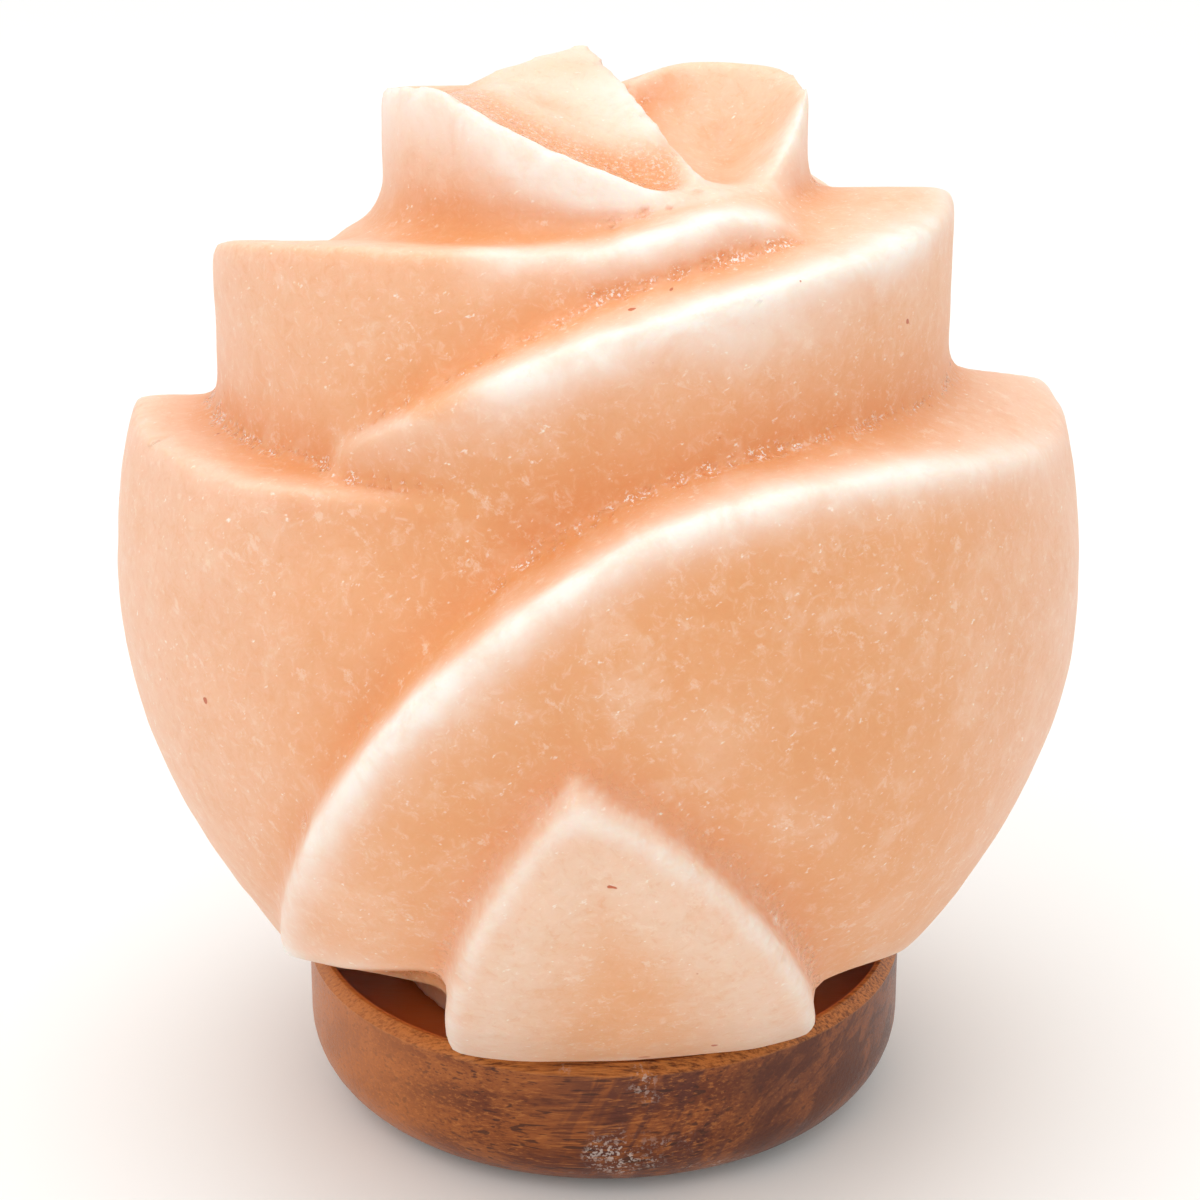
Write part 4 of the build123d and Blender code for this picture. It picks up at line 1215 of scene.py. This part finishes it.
# %% Glass
GLASS_WALL = 0.8
GLASS_NECK = 7.2
NECK_LENGTH = 4
CROWN_RADIUS = 0.15
DOME_STEPS = 20
glass_low, glass_high = corners_of("bulb_glass")
glass_radius = glass_high.x
dome_centre = glass_high.z - glass_radius
neck_drop = glass_low.z + NECK_LENGTH - dome_centre
flank = leaning_arc((glass_radius, dome_centre), neck_drop, glass_radius - GLASS_NECK, 16)
turns = [pi / 2 * i / DOME_STEPS for i in range(1, DOME_STEPS)]
dome = [(glass_radius * cos(a), dome_centre + glass_radius * sin(a)) for a in turns]
glass_outline = [(GLASS_NECK, glass_low.z), *reversed(flank), *dome, (CROWN_RADIUS, glass_high.z)]
envelope = turned("clear_envelope", glass_outline, hollow=True)
with_modifier(envelope, "SOLIDIFY", thickness=GLASS_WALL * MM, offset=-1)
hand_over(shaded(envelope, 50), "bulb_glass")

# %% Glass stem
FLARE = ((5.4, 0), (6.35, 0), (4.0, 2.6), (2.6, 4.6), (2.2, 7))
STEM_RADIUS = 2.2
STEM_TIP_RADIUS = 1.6
STEM_TIP = 1.5
stem_low, stem_high = corners_of("glass_stem")
stem_outline = [(radius, stem_low.z + height) for radius, height in FLARE]
stem_outline += [(STEM_RADIUS, stem_high.z - STEM_TIP), (STEM_TIP_RADIUS, stem_high.z)]
stem = rounded(turned("flared_stem", stem_outline, 48), 0.3, angle=8)
hand_over(stem, "glass_stem")

# %% [markdown]
# Two wires carry the filament, which is a fine coil of tungsten. A curve with a round bevel runs through
# points in a row, for the coil along a helix on an arc, and is then made into a mesh.


# %% Wires and filament
def wire(name, points, radius):
    """A round wire through points in mm."""
    curve = bpy.data.curves.new(name, "CURVE")
    curve.dimensions = "3D"
    curve.bevel_depth = radius * MM
    curve.bevel_resolution = 1
    curve.use_fill_caps = True
    spline = curve.splines.new("POLY")
    spline.points.add(len(points) - 1)
    for point, (x, y, z) in zip(spline.points, points):
        point.co = (x * MM, y * MM, z * MM, 1)
    piece = bpy.data.objects.new(name, curve)
    bpy.context.scene.collection.objects.link(piece)
    pick_only(piece)
    bpy.ops.object.convert(target="MESH")
    bpy.ops.object.shade_smooth()
    return bpy.context.object


LEAD_RADIUS = 0.3
LEAD_FOOT = (1.1, 0.2)
LEAD_BEND = (2.2, 2.6)
LEAD_END_DROP = 0.2
FILAMENT_RADIUS = 0.07
FILAMENT_SPAN = 10.0
COIL_TURNS = 44
COIL_STEPS = 8
COIL_RADIUS = 0.26
wire_low, wire_high = corners_of("lead_wires")
coil_low, coil_high = corners_of("filament")
sides = []
for side in (-1, 1):
    foot, bend = ((side * out, 0, wire_low.z + up) for out, up in (LEAD_FOOT, LEAD_BEND))
    end = (side * FILAMENT_SPAN / 2, 0, wire_high.z - LEAD_END_DROP)
    sides.append(wire("lead", [foot, bend, end], LEAD_RADIUS))
hand_over(joined(sides, "support_wires"), "lead_wires")

# %% Filament
COIL_INSET = 0.4
coil = []
for i in range(COIL_TURNS * COIL_STEPS + 1):
    share = i / (COIL_TURNS * COIL_STEPS)
    x = FILAMENT_SPAN * (share - 0.5)
    arc = 1 - (2 * share - 1) ** 2
    z = coil_low.z + COIL_INSET + (coil_high.z - coil_low.z - 2 * COIL_INSET) * arc
    turn = 2 * pi * i / COIL_STEPS
    coil.append((x, COIL_RADIUS * cos(turn), z + COIL_RADIUS * sin(turn)))
hand_over(wire("coiled_filament", coil, FILAMENT_RADIUS), "filament")
